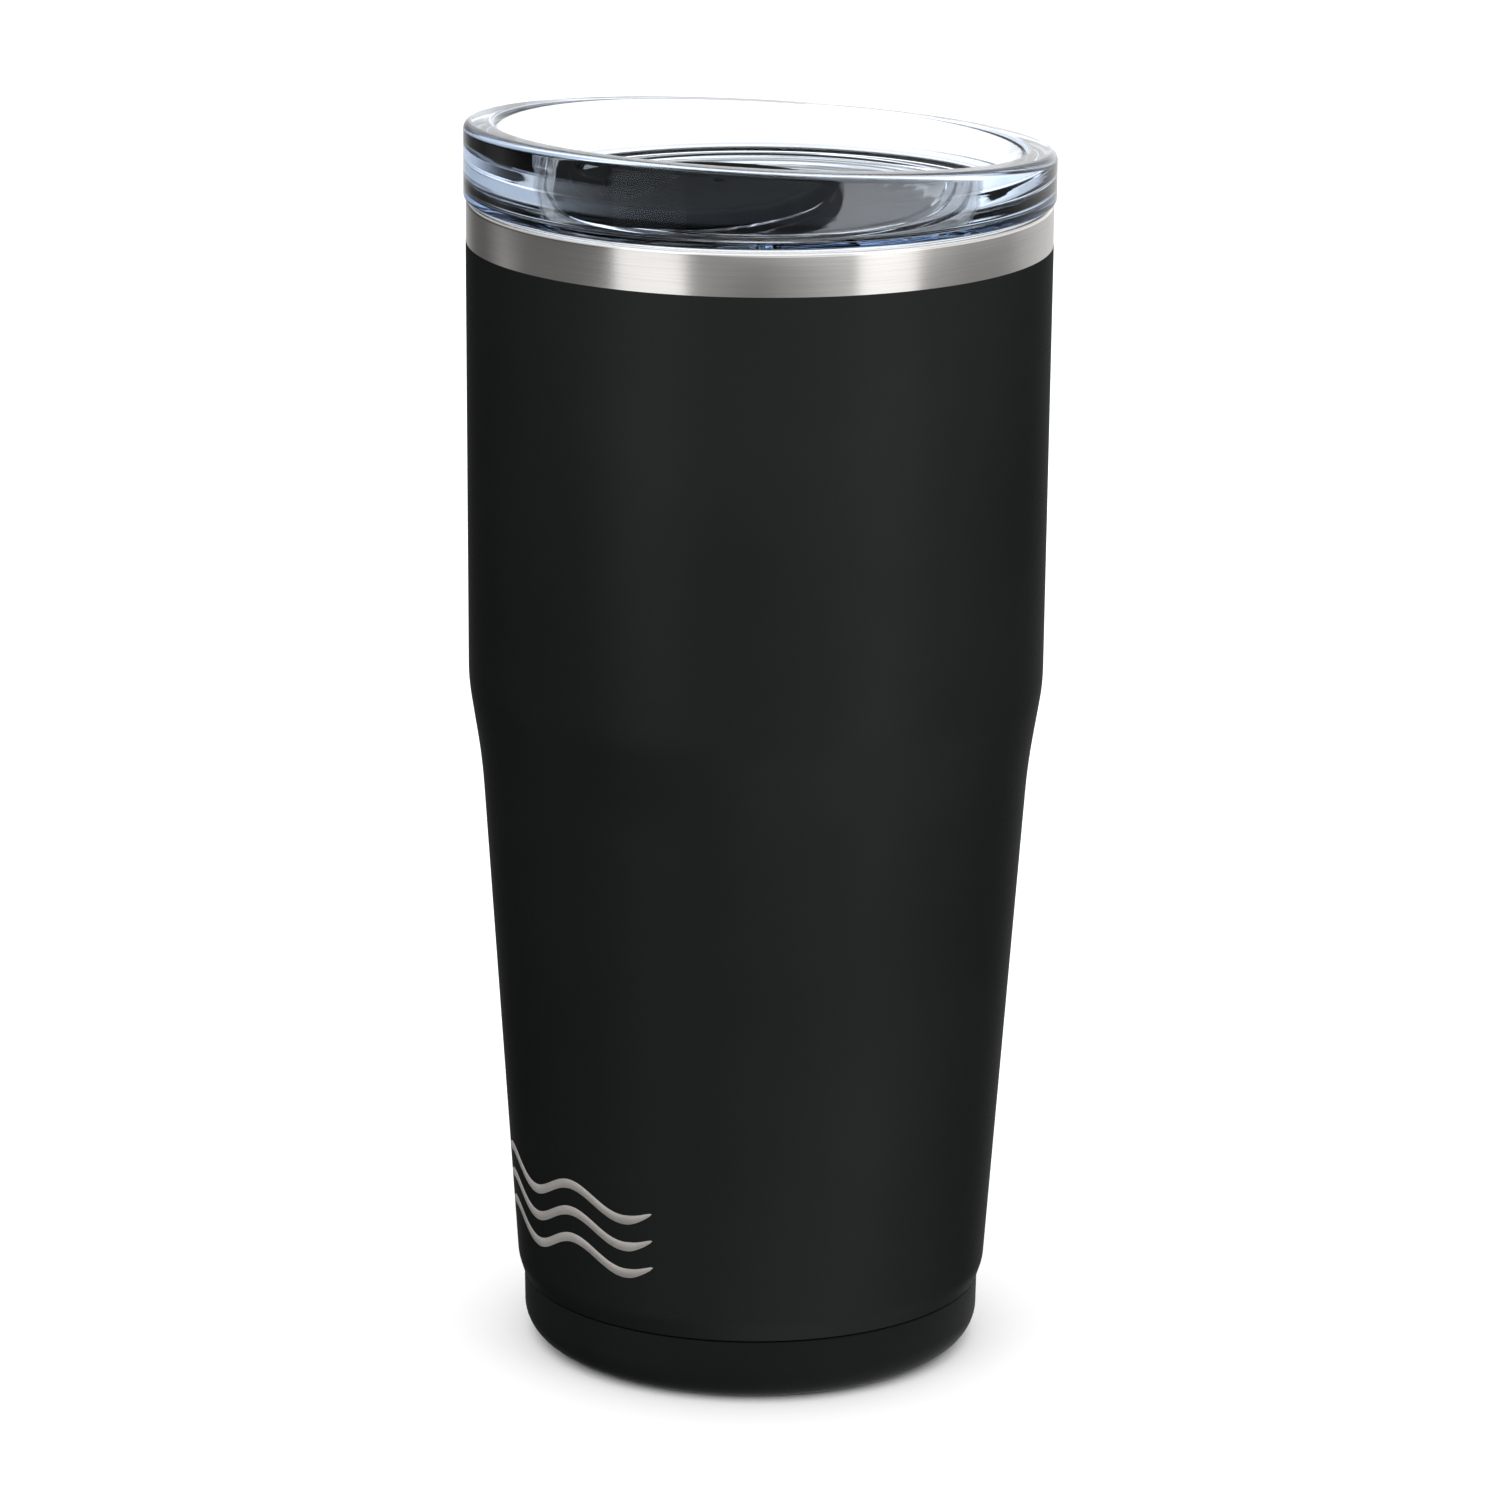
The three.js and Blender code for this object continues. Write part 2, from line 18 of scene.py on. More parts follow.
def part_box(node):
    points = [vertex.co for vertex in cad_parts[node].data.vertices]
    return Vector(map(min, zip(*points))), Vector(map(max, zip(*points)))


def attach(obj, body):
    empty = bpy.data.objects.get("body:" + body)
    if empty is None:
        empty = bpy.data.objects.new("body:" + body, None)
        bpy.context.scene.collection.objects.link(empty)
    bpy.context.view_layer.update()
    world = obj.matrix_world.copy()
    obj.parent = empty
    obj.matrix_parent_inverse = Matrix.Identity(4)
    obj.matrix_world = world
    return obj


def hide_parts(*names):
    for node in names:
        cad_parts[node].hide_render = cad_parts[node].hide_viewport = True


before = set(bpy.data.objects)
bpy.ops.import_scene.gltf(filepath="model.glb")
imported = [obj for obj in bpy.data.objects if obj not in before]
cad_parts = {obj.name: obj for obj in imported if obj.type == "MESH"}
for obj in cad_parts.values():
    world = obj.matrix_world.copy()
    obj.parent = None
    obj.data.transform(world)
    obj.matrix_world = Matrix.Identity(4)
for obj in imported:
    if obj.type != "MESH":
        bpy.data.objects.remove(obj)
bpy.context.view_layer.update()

MM = 0.001
AROUND = 192  # facets round a large turned piece
AROUND_SMALL = 72
ARC_STEP = 9.0  # degrees of arc per facet of a fillet
SHARP = math.radians(38)  # edges sharper than this stay crisp
DARK_EDGE = (0.45, 0.45, 0.45, 1.0)  # tint of the glancing reflection on black finishes

Point = tuple[float, float]
Span = tuple[float, float]
Socket = bpy.types.NodeSocket
log = logging.getLogger("tumbler")


class Body(Enum):
    """The rigid bodies that pieces ride on."""

    CUP = "cup"
    GASKET = "gasket"
    LID = "lid"
    DIAL = "dial"


# ---- Outlines and meshes ------------------------------------------------------------------------


class Outline:
    """A half section of a turned piece, in millimetres."""

    def __init__(self, *corners: Sequence[float], closed: bool = False) -> None:
        """Makes an outline.

        Args:
            corners: (r, z) or (r, z, fillet radius) of each corner in order.
            closed: True when the last corner joins the first one.
        """
        self.corners = [(*c, 0.0)[:3] for c in corners]
        self.closed = closed

    def points(self, step: float = ARC_STEP) -> list[Point]:
        """Returns the outline with its fillets as short chords.

        Args:
            step: degrees of arc for each chord.

        Returns:
            The points in order.
        """
        made: list[Point] = []
        last = len(self.corners) - 1
        for i, (r, z, fillet) in enumerate(self.corners):
            at_end = not self.closed and i in (0, last)
            if fillet <= 0 or at_end:
                made.append((r, z))
                continue
            before = Vector(self.corners[i - 1][:2])
            after = Vector(self.corners[(i + 1) % (last + 1)][:2])
            made += self._arc(before, Vector((r, z)), after, fillet, step)
        return made

    @staticmethod
    def _arc(before: Vector, corner: Vector, after: Vector, fillet: float, step: float) -> list[Point]:
        """Rounds one corner, with the fillet limited by its two sides.

        Args:
            before: the corner before it.
            corner: the corner to round.
            after: the corner after it.
            fillet: the radius asked for, in millimetres.
            step: degrees of arc for each chord.

        Returns:
            The points that stand in for the corner.
        """
        back = (before - corner).normalized()
        on = (after - corner).normalized()
        half = back.angle(on) / 2
        room = 0.49 * min((before - corner).length, (after - corner).length)
        reach = min(fillet / math.tan(half), room)
        radius = reach * math.tan(half)
        centre = corner + (back + on).normalized() * (radius / math.sin(half))
        start = corner + back * reach - centre
        end = corner + on * reach - centre
        sweep = math.atan2(start.x * end.y - start.y * end.x, start.dot(end))
        count = max(3, math.ceil(math.degrees(abs(sweep)) / step))
        turns = (Matrix.Rotation(sweep * i / count, 2) for i in range(count + 1))
        return [tuple(centre + turn @ start) for turn in turns]


def new_object(name: str, bm: bmesh.types.BMesh, sharp: float = SHARP) -> bpy.types.Object:
    """Makes a smooth-shaded object from a bmesh, with its sharp edges kept crisp.

    Args:
        name: the piece's name.
        bm: the mesh, in metres; it is freed.
        sharp: angle in radians from which an edge is crisp.

    Returns:
        The new object, linked to the scene.
    """
    bmesh.ops.remove_doubles(bm, verts=bm.verts, dist=1e-7)
    bmesh.ops.recalc_face_normals(bm, faces=bm.faces)
    mesh = bpy.data.meshes.new(name)
    bm.to_mesh(mesh)
    bm.free()
    mesh.shade_smooth()
    mesh.set_sharp_from_angle(angle=sharp)
    made = bpy.data.objects.new(name, mesh)
    bpy.context.scene.collection.objects.link(made)
    return made


def turned_mesh(points: Sequence[Point], around: int, centre: Point = (0.0, 0.0)) -> bmesh.types.BMesh:
    """Turns a half section about an upright axis.

    Args:
        points: (r, z) in millimetres; a section off the axis closes on itself.
        around: number of facets in a full turn.
        centre: the axis's x and y in millimetres.

    Returns:
        A closed mesh in metres.
    """
    bm = bmesh.new()
    on_axis = points[0][0] == 0 and points[-1][0] == 0
    rings = []
    for r, z in points:
        if r == 0:
            rings.append([bm.verts.new((centre[0] * MM, centre[1] * MM, z * MM))])
            continue
        angles = (2 * math.pi * i / around for i in range(around))
        spots = ((centre[0] + r * math.cos(a), centre[1] + r * math.sin(a), z) for a in angles)
        rings.append([bm.verts.new(Vector(spot) * MM) for spot in spots])
    pairs = list(zip(rings, rings[1:]))
    if not on_axis:
        pairs.append((rings[-1], rings[0]))
    for lower, upper in pairs:
        for i in range(around):
            j = (i + 1) % around
            near = (lower[i % len(lower)], lower[j % len(lower)])
            far = (upper[j % len(upper)], upper[i % len(upper)])
            bm.faces.new(list(dict.fromkeys(near + far)))  # a ring on the axis is one point, named once
    return bm


def prism_mesh(outline: Sequence[Point], levels: Sequence[tuple[float, float]]) -> bmesh.types.BMesh:
    """Stacks copies of a flat outline, each grown or shrunk, into a closed solid.

    Args:
        outline: (x, y) in millimetres, anticlockwise.
        levels: (z, growth) in millimetres for each copy, from the bottom up.

    Returns:
        A closed mesh in metres.
    """
    bm = bmesh.new()
    count = len(outline)
    normals = []
    for i in range(count):
        along = Vector(outline[(i + 1) % count]) - Vector(outline[i - 1])
        normals.append(Vector((along.y, -along.x)).normalized())
    rings = []
    for z, growth in levels:
        spots = (Vector(p) + n * growth for p, n in zip(outline, normals))
        rings.append([bm.verts.new((s.x * MM, s.y * MM, z * MM)) for s in spots])
    for lower, upper in zip(rings, rings[1:]):
        for i in range(count):
            j = (i + 1) % count
            bm.faces.new((lower[i], lower[j], upper[j], upper[i]))
    bm.faces.new(rings[0][::-1])
    bm.faces.new(rings[-1])
    return bm


def arc_slot(inside: float, outside: float, middle: float, half: float, centre: Point,
             corner: float = 1.4) -> list[Point]:
    """Outline of a curved slot with round corners.

    Args:
        inside: inner radius in millimetres about centre.
        outside: outer radius.
        middle: direction of the slot's middle, in degrees from -Y towards +X.
        half: half the slot's angle, in degrees.
        centre: the x and y that the slot bends round.
        corner: radius of its corners in millimetres, at most 0.4 of its width.

    Returns:
        The outline's points, anticlockwise.
    """
    corner = min(corner, 0.4 * (outside - inside))
    made: list[Point] = []

    def spot(radius: float, degrees: float) -> Point:
        """Returns a point at a radius and a direction from -Y."""
        a = math.radians(degrees)
        return (centre[0] + radius * math.sin(a), centre[1] - radius * math.cos(a))

    steps = 24
    for i in range(steps + 1):
        t = -1 + 2 * i / steps
        ease = max(0.0, abs(t) * half - (half - math.degrees(corner / outside)))
        drop = corner - math.sqrt(max(0.0, corner**2 - (math.radians(ease) * outside) ** 2))
        made.append(spot(outside - drop, middle + t * half))
    for i in range(steps + 1):
        t = 1 - 2 * i / steps
        ease = max(0.0, abs(t) * half - (half - math.degrees(corner / inside)))
        drop = corner - math.sqrt(max(0.0, corner**2 - (math.radians(ease) * inside) ** 2))
        made.append(spot(inside + drop, middle + t * half))
    return made


def circle(radius: float, centre: Point, count: int = AROUND_SMALL) -> list[Point]:
    """Outline of a circle in millimetres, anticlockwise."""
    angles = (2 * math.pi * i / count for i in range(count))
    return [(centre[0] + radius * math.cos(a), centre[1] + radius * math.sin(a)) for a in angles]


def cut(piece: bpy.types.Object, tools: Sequence[bmesh.types.BMesh], join: bool = False) -> None:
    """Cuts tools out of a piece, or joins them to it, for good.

    Args:
        piece: the object to change.
        tools: closed meshes in metres; they are freed.
        join: True to join instead of cut.
    """
    for bm in tools:
        tool = new_object(piece.name + "_tool", bm)
        change = piece.modifiers.new("cut", "BOOLEAN")
        change.operation = "UNION" if join else "DIFFERENCE"
        change.solver = "EXACT"
        change.object = tool
        bpy.context.view_layer.update()
        done = piece.evaluated_get(bpy.context.evaluated_depsgraph_get())
        old, piece.data = piece.data, bpy.data.meshes.new_from_object(done)
        piece.modifiers.clear()
        bpy.data.meshes.remove(old)
        spent = tool.data
        bpy.data.objects.remove(tool)
        bpy.data.meshes.remove(spent)
    piece.data.shade_smooth()
    piece.data.set_sharp_from_angle(angle=SHARP)


# ---- Finishes -----------------------------------------------------------------------------------


class Nodes:
    """A node tree, built a node at a time."""

    def __init__(self, tree: bpy.types.NodeTree) -> None:
        """Starts with the nodes that a tree has."""
        self.tree = tree

    def add(self, kind: str, **settings: object) -> bpy.types.Node:
        """Adds a node.

        Args:
            kind: the node's type.
            settings: attributes of the node, or values of its inputs by name with _ for a space.

        Returns:
            The new node.
        """
        node = self.tree.nodes.new(kind)
        for key, value in settings.items():
            if hasattr(node, key):
                setattr(node, key, value)
            else:
                node.inputs[key.replace("_", " ")].default_value = value
        return node

    def link(self, source: Socket, target: Socket) -> None:
        """Joins an output to an input."""
        self.tree.links.new(source, target)

    def math(self, operation: str, *terms: object) -> Socket:
        """Adds a maths node.

        Args:
            operation: the node's operation.
            terms: numbers, or outputs to join.

        Returns:
            The node's output.
        """
        node = self.add("ShaderNodeMath", operation=operation)
        for socket, term in zip(node.inputs, terms):
            if isinstance(term, (int, float)):
                socket.default_value = term
            else:
                self.link(term, socket)
        return node.outputs[0]

    def eased(self, value: Socket, span: Span, to: Span = (0.0, 1.0)) -> Socket:
        """Maps a value from one span to another along a smooth step, and returns the result."""
        node = self.add("ShaderNodeMapRange", interpolation_type="SMOOTHSTEP")
        for name, number in zip(("From Min", "From Max", "To Min", "To Max"), (*span, *to)):
            node.inputs[name].default_value = number
        self.link(value, node.inputs["Value"])
        return node.outputs["Result"]

    def blended(self, share: Socket, first: Socket, second: Socket) -> Socket:
        """Returns a blend of two colours: the second one's share goes from 0 to 1."""
        node = self.add("ShaderNodeMix", data_type="RGBA")
        self.link(share, node.inputs["Factor"])
        # The node has sockets A, B and Result for each kind of value. These are the ones for colours.
        self.link(first, node.inputs[6])
        self.link(second, node.inputs[7])
        return node.outputs[2]


class Shader(Nodes):
    """A material's node tree, with a Principled shader and object coordinates."""

    def __init__(self, name: str) -> None:
        """Starts a material."""
        self.material = bpy.data.materials.new(name)
        self.material.use_nodes = True
        super().__init__(self.material.node_tree)
        self.surface = self.tree.nodes["Principled BSDF"]
        self.place = self.add("ShaderNodeTexCoord").outputs["Object"]

    def set(self, **values: object) -> None:
        """Sets values on the Principled shader's own sockets."""
        for key, value in values.items():
            self.surface.inputs[key.replace("_", " ")].default_value = value

    def noise(self, scale: float, detail: float = 2.0, at: object = None) -> Socket:
        """Adds a noise texture over the object, or over other coordinates, and returns its value."""
        node = self.add("ShaderNodeTexNoise", Scale=scale, Detail=detail)
        self.link(at if at is not None else self.place, node.inputs["Vector"])
        return node.outputs["Fac"]

    def ramp(self, value: Socket, low: Sequence[float], high: Sequence[float],
             start: float = 0.3, end: float = 0.7) -> Socket:
        """Maps a value to a colour.

        Args:
            value: the value to map.
            low: RGB at start and below.
            high: RGB at end and above.
            start: value at which the colour leaves low.
            end: value at which it reaches high.

        Returns:
            The colour output.
        """
        node = self.add("ShaderNodeValToRGB")
        self.link(value, node.inputs["Fac"])
        for stop, place, colour in zip(node.color_ramp.elements, (start, end), (low, high)):
            stop.position = place
            stop.color = (*colour, 1.0)
        return node.outputs["Color"]

    def range(self, value: Socket, low: float, high: float) -> Socket:
        """Maps a value of 0.3 to 0.7 to the range from low to high."""
        node = self.add("ShaderNodeMapRange", From_Min=0.3, From_Max=0.7, To_Min=low, To_Max=high)
        self.link(value, node.inputs["Value"])
        return node.outputs["Result"]

    def paint(self, value: Socket, low: Sequence[float], high: Sequence[float],
              start: float = 0.3, end: float = 0.7) -> None:
        """Gives the surface a colour that goes with a value.

        Args:
            value: the value that it goes with.
            low: RGB at start and below.
            high: RGB at end and above.
            start: value at which the colour leaves low.
            end: value at which it reaches high.
        """
        self.link(self.ramp(value, low, high, start, end), self.surface.inputs["Base Color"])

    def roughen(self, value: Socket, low: float, high: float) -> None:
        """Gives the surface a roughness that goes from low to high with a value; see range."""
        self.link(self.range(value, low, high), self.surface.inputs["Roughness"])

    def bump(self, height: Socket, depth_mm: float, strength: float = 1.0) -> None:
        """Puts a bump on the surface, depth_mm deep."""
        node = self.add("ShaderNodeBump", Strength=strength, Distance=depth_mm * MM)
        self.link(height, node.inputs["Height"])
        self.link(node.outputs["Normal"], self.surface.inputs["Normal"])

    def round_the_axis(self) -> tuple[Socket, Socket, Socket]:
        """Returns the angle about Z, the radius and the height of a point, in radians and metres."""
        split = self.add("ShaderNodeSeparateXYZ")
        self.link(self.place, split.inputs[0])
        x, y, z = split.outputs
        radius = self.math("SQRT", self.math("ADD", self.math("MULTIPLY", x, x), self.math("MULTIPLY", y, y)))
        return self.math("ARCTAN2", y, x), radius, z


@dataclass(frozen=True)
class BrushedSteel:
    """Stainless steel with strokes that run round the cup."""

    name: str
    colour: tuple[float, float, float] = (0.62, 0.605, 0.585)
    roughness: float = 0.17
    anisotropy: float = 0.5
    strokes_per_mm: float = 14.0
    stroke_depth: float = 0.0012

    def material(self) -> bpy.types.Material:
        """Returns the finish as a material."""
        s = Shader(self.name)
        angle, radius, height = s.round_the_axis()
        joined = s.add("ShaderNodeCombineXYZ")
        s.link(s.math("MULTIPLY", angle, 4.0), joined.inputs[0])
        s.link(s.math("MULTIPLY", radius, self.strokes_per_mm / MM), joined.inputs[1])
        s.link(s.math("MULTIPLY", height, self.strokes_per_mm / MM), joined.inputs[2])
        strokes = s.noise(1.0, 3.0, joined.outputs[0])
        cloud = s.noise(60.0)
        dark = [c * 0.86 for c in self.colour]
        s.paint(strokes, dark, self.colour, 0.25, 0.75)
        s.roughen(cloud, self.roughness - 0.04, self.roughness + 0.05)
        s.set(Metallic=1.0, Anisotropic=self.anisotropy)
        tangent = s.add("ShaderNodeTangent", direction_type="RADIAL", axis="Z")
        s.link(tangent.outputs[0], s.surface.inputs["Tangent"])
        s.bump(strokes, self.stroke_depth)
        return s.material


@dataclass(frozen=True)
class PowderCoat:
    """Black powder coat with a fine orange peel.

    Part metal with a dark reflection, so that it stays black at a glancing look. A real coat isn't metal.
    """

    name: str
    dark: tuple[float, float, float] = (0.0136, 0.0150, 0.0143)
    light: tuple[float, float, float] = (0.0168, 0.0183, 0.0176)
    roughness: float = 0.4
    grains_per_mm: float = 2.6
    grain_depth: float = 0.012
    metal_share: float = 0.62

    def material(self) -> bpy.types.Material:
        """Returns the finish as a material."""
        s = Shader(self.name)
        grain = s.noise(self.grains_per_mm / MM, 2.0)
        peel = s.noise(0.45 / MM, 1.0)
        cloud = s.noise(22.0, 3.0)
        s.paint(cloud, self.dark, self.light)
        s.roughen(grain, self.roughness - 0.03, self.roughness + 0.05)
        both = s.math("ADD", grain, s.math("MULTIPLY", peel, 1.5))
        s.bump(both, self.grain_depth, 0.5)
        s.set(Metallic=self.metal_share, Specular_IOR_Level=0.0, Specular_Tint=DARK_EDGE)
        return s.material


@dataclass(frozen=True)
class Silicone:
    """Black silicone rubber with a dry, dusty skin, which hardly reflects at all."""

    name: str
    colour: tuple[float, float, float] = (0.0050, 0.0055, 0.0054)
    roughness: float = 0.5
    grain_depth: float = 0.01

    def material(self) -> bpy.types.Material:
        """Returns the finish as a material."""
        s = Shader(self.name)
        grain = s.noise(3.2 / MM, 2.0)
        cloud = s.noise(40.0, 3.0)
        light = [c * 1.5 for c in self.colour]
        s.paint(cloud, self.colour, light)
        s.roughen(grain, self.roughness - 0.04, self.roughness + 0.07)
        s.bump(grain, self.grain_depth, 0.6)
        s.set(Specular_IOR_Level=0.03)
        return s.material


@dataclass(frozen=True)
class ClearPlastic:
    """Clear copolyester with a faint cool tint and the slight ripple of a moulding.

    Its reflection face on is about an eighth of the real one, so that the dial shows dark behind it.
    """

    name: str
    tint: tuple[float, float, float] = (0.985, 0.989, 0.994)
    depth_tint: tuple[float, float, float] = (0.62, 0.76, 0.93)
    depth_density: float = 42.0
    index: float = 1.48
    reflection: tuple[float, float, float] = (0.12, 0.13, 0.15)
    ripple_depth: float = 0.15

    def material(self) -> bpy.types.Material:
        """Returns the finish as a material."""
        s = Shader(self.name)
        angle, radius, height = s.round_the_axis()
        joined = s.add("ShaderNodeCombineXYZ")
        s.link(s.math("MULTIPLY", s.math("SINE", angle), 0.9), joined.inputs[0])
        s.link(s.math("MULTIPLY", radius, 0.35 / MM), joined.inputs[1])
        s.link(s.math("MULTIPLY", height, 0.16 / MM), joined.inputs[2])
        flow = s.noise(1.0, 1.5, joined.outputs[0])
        haze = s.noise(300.0, 2.0)
        paler = [min(1.0, c * 1.01) for c in self.tint]
        s.paint(flow, self.tint, paler)
        s.roughen(haze, 0.012, 0.03)
        s.bump(flow, self.ripple_depth, 0.6)
        s.set(Transmission_Weight=1.0, IOR=self.index, Specular_Tint=(*self.reflection, 1.0))
        tint = (*self.depth_tint, 1.0)
        depth = s.add("ShaderNodeVolumeAbsorption", Color=tint, Density=self.depth_density)
        s.link(depth.outputs[0], s.tree.nodes["Material Output"].inputs["Volume"])
        return s.material


@dataclass(frozen=True)
class MouldedPlastic:
    """Black moulded plastic with a fine satin texture.

    Part metal with a dark reflection, so that it stays black at a glancing look through the lid.
    """

    name: str
    colour: tuple[float, float, float] = (0.0096, 0.0104, 0.0101)
    roughness: float = 0.45
    grain_depth: float = 0.002
    metal_share: float = 0.5

    def material(self) -> bpy.types.Material:
        """Returns the finish as a material."""
        s = Shader(self.name)
        grain = s.noise(1.6 / MM, 2.0)
        cloud = s.noise(90.0, 2.0)
        light = [c * 1.35 for c in self.colour]
        s.paint(cloud, self.colour, light)
        s.roughen(grain, self.roughness - 0.04, self.roughness + 0.06)
        s.bump(grain, self.grain_depth, 0.3)
        s.set(Metallic=self.metal_share, Specular_IOR_Level=0.0, Specular_Tint=DARK_EDGE)
        return s.material


@dataclass(frozen=True)
class SolderGlass:
    """Dark brown solder glass, melted into a shiny bead with a few bubbles."""

    name: str = "solder_bead"

    def material(self) -> bpy.types.Material:
        """Returns the finish as a material."""
        s = Shader(self.name)
        bubbles = s.noise(900.0, 3.0)
        s.paint(bubbles, (0.035, 0.022, 0.014), (0.11, 0.08, 0.055))
        s.roughen(bubbles, 0.14, 0.3)
        s.bump(bubbles, 0.04, 0.5)
        return s.material


@dataclass(frozen=True)
class PressedPowder:
    """Dull grey pressed metal powder."""

    name: str = "pressed_powder"

    def material(self) -> bpy.types.Material:
        """Returns the finish as a material."""
        s = Shader(self.name)
        grain = s.noise(2500.0, 4.0)
        s.paint(grain, (0.09, 0.09, 0.095), (0.24, 0.24, 0.25))
        s.roughen(grain, 0.6, 0.85)
        s.bump(grain, 0.05, 0.7)
        s.set(Metallic=0.6)
        return s.material


@dataclass(frozen=True)
class EtchedMark:
    """Bare steel where a laser has taken the coat off: pale grey and finely pitted."""

    name: str = "etched_mark"

    def material(self) -> bpy.types.Material:
        """Returns the finish as a material."""
        s = Shader(self.name)
        pits = s.noise(3000.0, 2.0)
        cloud = s.noise(160.0, 2.0)
        s.paint(cloud, (0.25, 0.235, 0.222), (0.31, 0.295, 0.28))
        s.roughen(pits, 0.42, 0.6)
        s.bump(pits, 0.01, 0.6)
        s.set(Metallic=0.35)
        return s.material


def dress(piece: bpy.types.Object, finish: bpy.types.Material) -> None:
    """Gives a piece one finish in place of any it has."""
    piece.data.materials.clear()
    piece.data.materials.append(finish)


def settle(piece: bpy.types.Object, body: Body, slot: str, *nodes: str) -> None:
    """Ties a new piece to the frame.

    Args:
        piece: the new piece, in place.
        body: the rigid body that it rides on.
        slot: the record's material slot that its finish stands for; it is only written to the log.
        nodes: the CAD nodes that it stands for.
    """
    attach(piece, body.value)
    if nodes:
        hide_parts(*nodes)
    log.info("%s rides on %s, finish %s, %d faces", piece.name, body.value, slot, len(piece.data.polygons))


# ---- Cup ----------------------------------------------------------------------------------------


@dataclass
class Cup:
    """Steel shell, its black coat, the liner inside and the generic mark on the coat.

    Radii and heights that the frame knows are read from it. The rest are the drawing's own.
    """

    waist: Point = (42.1, 93.1)
    shoulder: Point = (44.15, 105.9)
    heel: Point = (36.55, 12.8)
    heel_edge: float = 35.75
    coat: float = 0.25
    steel: float = 0.5
    vacuum_gap: float = 3.8
    band_inset: float = 0.05
    lip_round: float = 0.75
    mouth_depth: float = 13.0
    mouth_taper: float = 8.0
    liner_corner: float = 9.0
    wave_rows: int = 3
    wave_pitch: float = 4.4
    wave_height: float = 1.7
    wave_line: float = 1.5
    wave_foot: float = 21.5
    wave_angle: float = 62.0  # degrees round the cup
    wave_middle: float = -13.0  # degrees from the front
    lip: float = field(init=False)
    top: float = field(init=False)
    coat_foot: float = field(init=False)
    coat_top: float = field(init=False)

    def __post_init__(self) -> None:
        """Reads the frame's sizes."""
        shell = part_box("outer_shell")[1]
        low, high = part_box("powder_coat")
        self.lip, self.top = shell.x / MM, shell.z / MM
        self.coat_foot, self.coat_top = low.z / MM, high.z / MM

    def face(self, inset: float) -> list[Point]:
        """Returns the cup's outer face from the heel to the band, moved in by inset."""
        made = Outline(
            (self.heel_edge, self.coat_foot),
            (*self.heel, 7.0),
            (*self.waist, 100.0),
            (*self.shoulder, 32.0),
            (self.lip, self.coat_top),
        ).points(0.8)
        return [(r - inset, z) for r, z in made]

    def radius_at(self, z: float) -> float:
        """Returns the outer face's radius at a height."""
        line = self.face(0.0)
        for (r0, z0), (r1, z1) in zip(line, line[1:]):
            if z <= z1:
                return r0 + (r1 - r0) * (z - z0) / (z1 - z0)
        return self.lip

    def build_coat(self) -> bpy.types.Object:
        """Returns the powder coat, with soft edges at the band and over the boot."""
        outer = self.face(0.0)
        inner = self.face(self.coat)
        top = self.coat_top
        edge = [(self.lip - 0.04, top - 0.03), (self.lip - 0.12, top)]
        points = outer[:-1] + [(self.lip, top - 0.12), *edge, (self.lip - self.coat, top)]
        return new_object("coat", turned_mesh(points + inner[-2::-1], AROUND))

    def build_shell(self) -> bpy.types.Object:
        """Returns the steel shell, with its bare band and the lip rolled over to the liner."""
        under = self.coat + 0.02
        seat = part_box("base_boot")[1].x / MM - 2.0
        foot = self.coat_foot + 0.3
        outer = [p for p in self.face(under) if foot + 0.2 < p[1] < self.coat_top - 1]
        inner = [p for p in self.face(under + self.steel) if foot + 1 < p[1] < self.coat_top - 1][::-1]
        band = self.lip - self.band_inset
        mouth = self.lip - 2.15
        lip = Outline(
            (self.lip - under, self.coat_top - 0.1),
            (band, self.coat_top - 0.1),
            (band, self.top, self.lip_round),
            (mouth, self.top, 0.45),
            (mouth, self.top - 0.8),
            (band - self.steel - 0.2, self.top - 0.8),
        ).points()
        foot_points = [(seat - self.steel, foot + 0.6), (seat - self.steel, 2.8), (seat, 2.8), (seat, foot)]
        return new_object("steel_shell", turned_mesh(outer + lip + inner + foot_points, AROUND))

    def build_liner(self) -> bpy.types.Object:
        """Returns the liner: straight mouth, drawn-in wall and rounded floor."""
        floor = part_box("inner_liner")[0].z / MM
        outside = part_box("inner_liner")[1].x / MM
        mouth_foot = self.top - self.mouth_depth
        drawn = mouth_foot - self.mouth_taper

        def wall(inset: float, bottom: float, mouth: float, corner: float) -> list[Point]:
            """Traces one face of the liner, from the axis up to the lip.

            Args:
                inset: how far the drawn-in wall lies inside the cup's outer face.
                bottom: height of the floor.
                mouth: radius of the straight mouth.
                corner: radius of the corner at the floor.

            Returns:
                The points in order.
            """
            body = [p for p in self.face(inset) if bottom + corner + 2 < p[1] < drawn - 2]
            draw_in = self.radius_at(drawn) - inset
            start = self.radius_at(bottom + corner) - inset
            bowl = Outline((0, bottom), (start - 0.6, bottom, corner), (start, bottom + corner + 1)).points()
            neck = Outline(
                body[-1],
                (draw_in, drawn, 6.0),
                (mouth, mouth_foot, 6.0),
                (mouth, self.top - 0.9),
            ).points(4.0)
            return bowl + body[:-1] + neck

        deep = self.coat + 0.35 + self.steel + self.vacuum_gap
        outer = wall(deep, floor, outside, self.liner_corner)
        steel = self.steel
        inner = wall(deep + steel, floor + steel, outside - steel, self.liner_corner - steel)
        return new_object("liner", turned_mesh(outer + inner[::-1], AROUND))

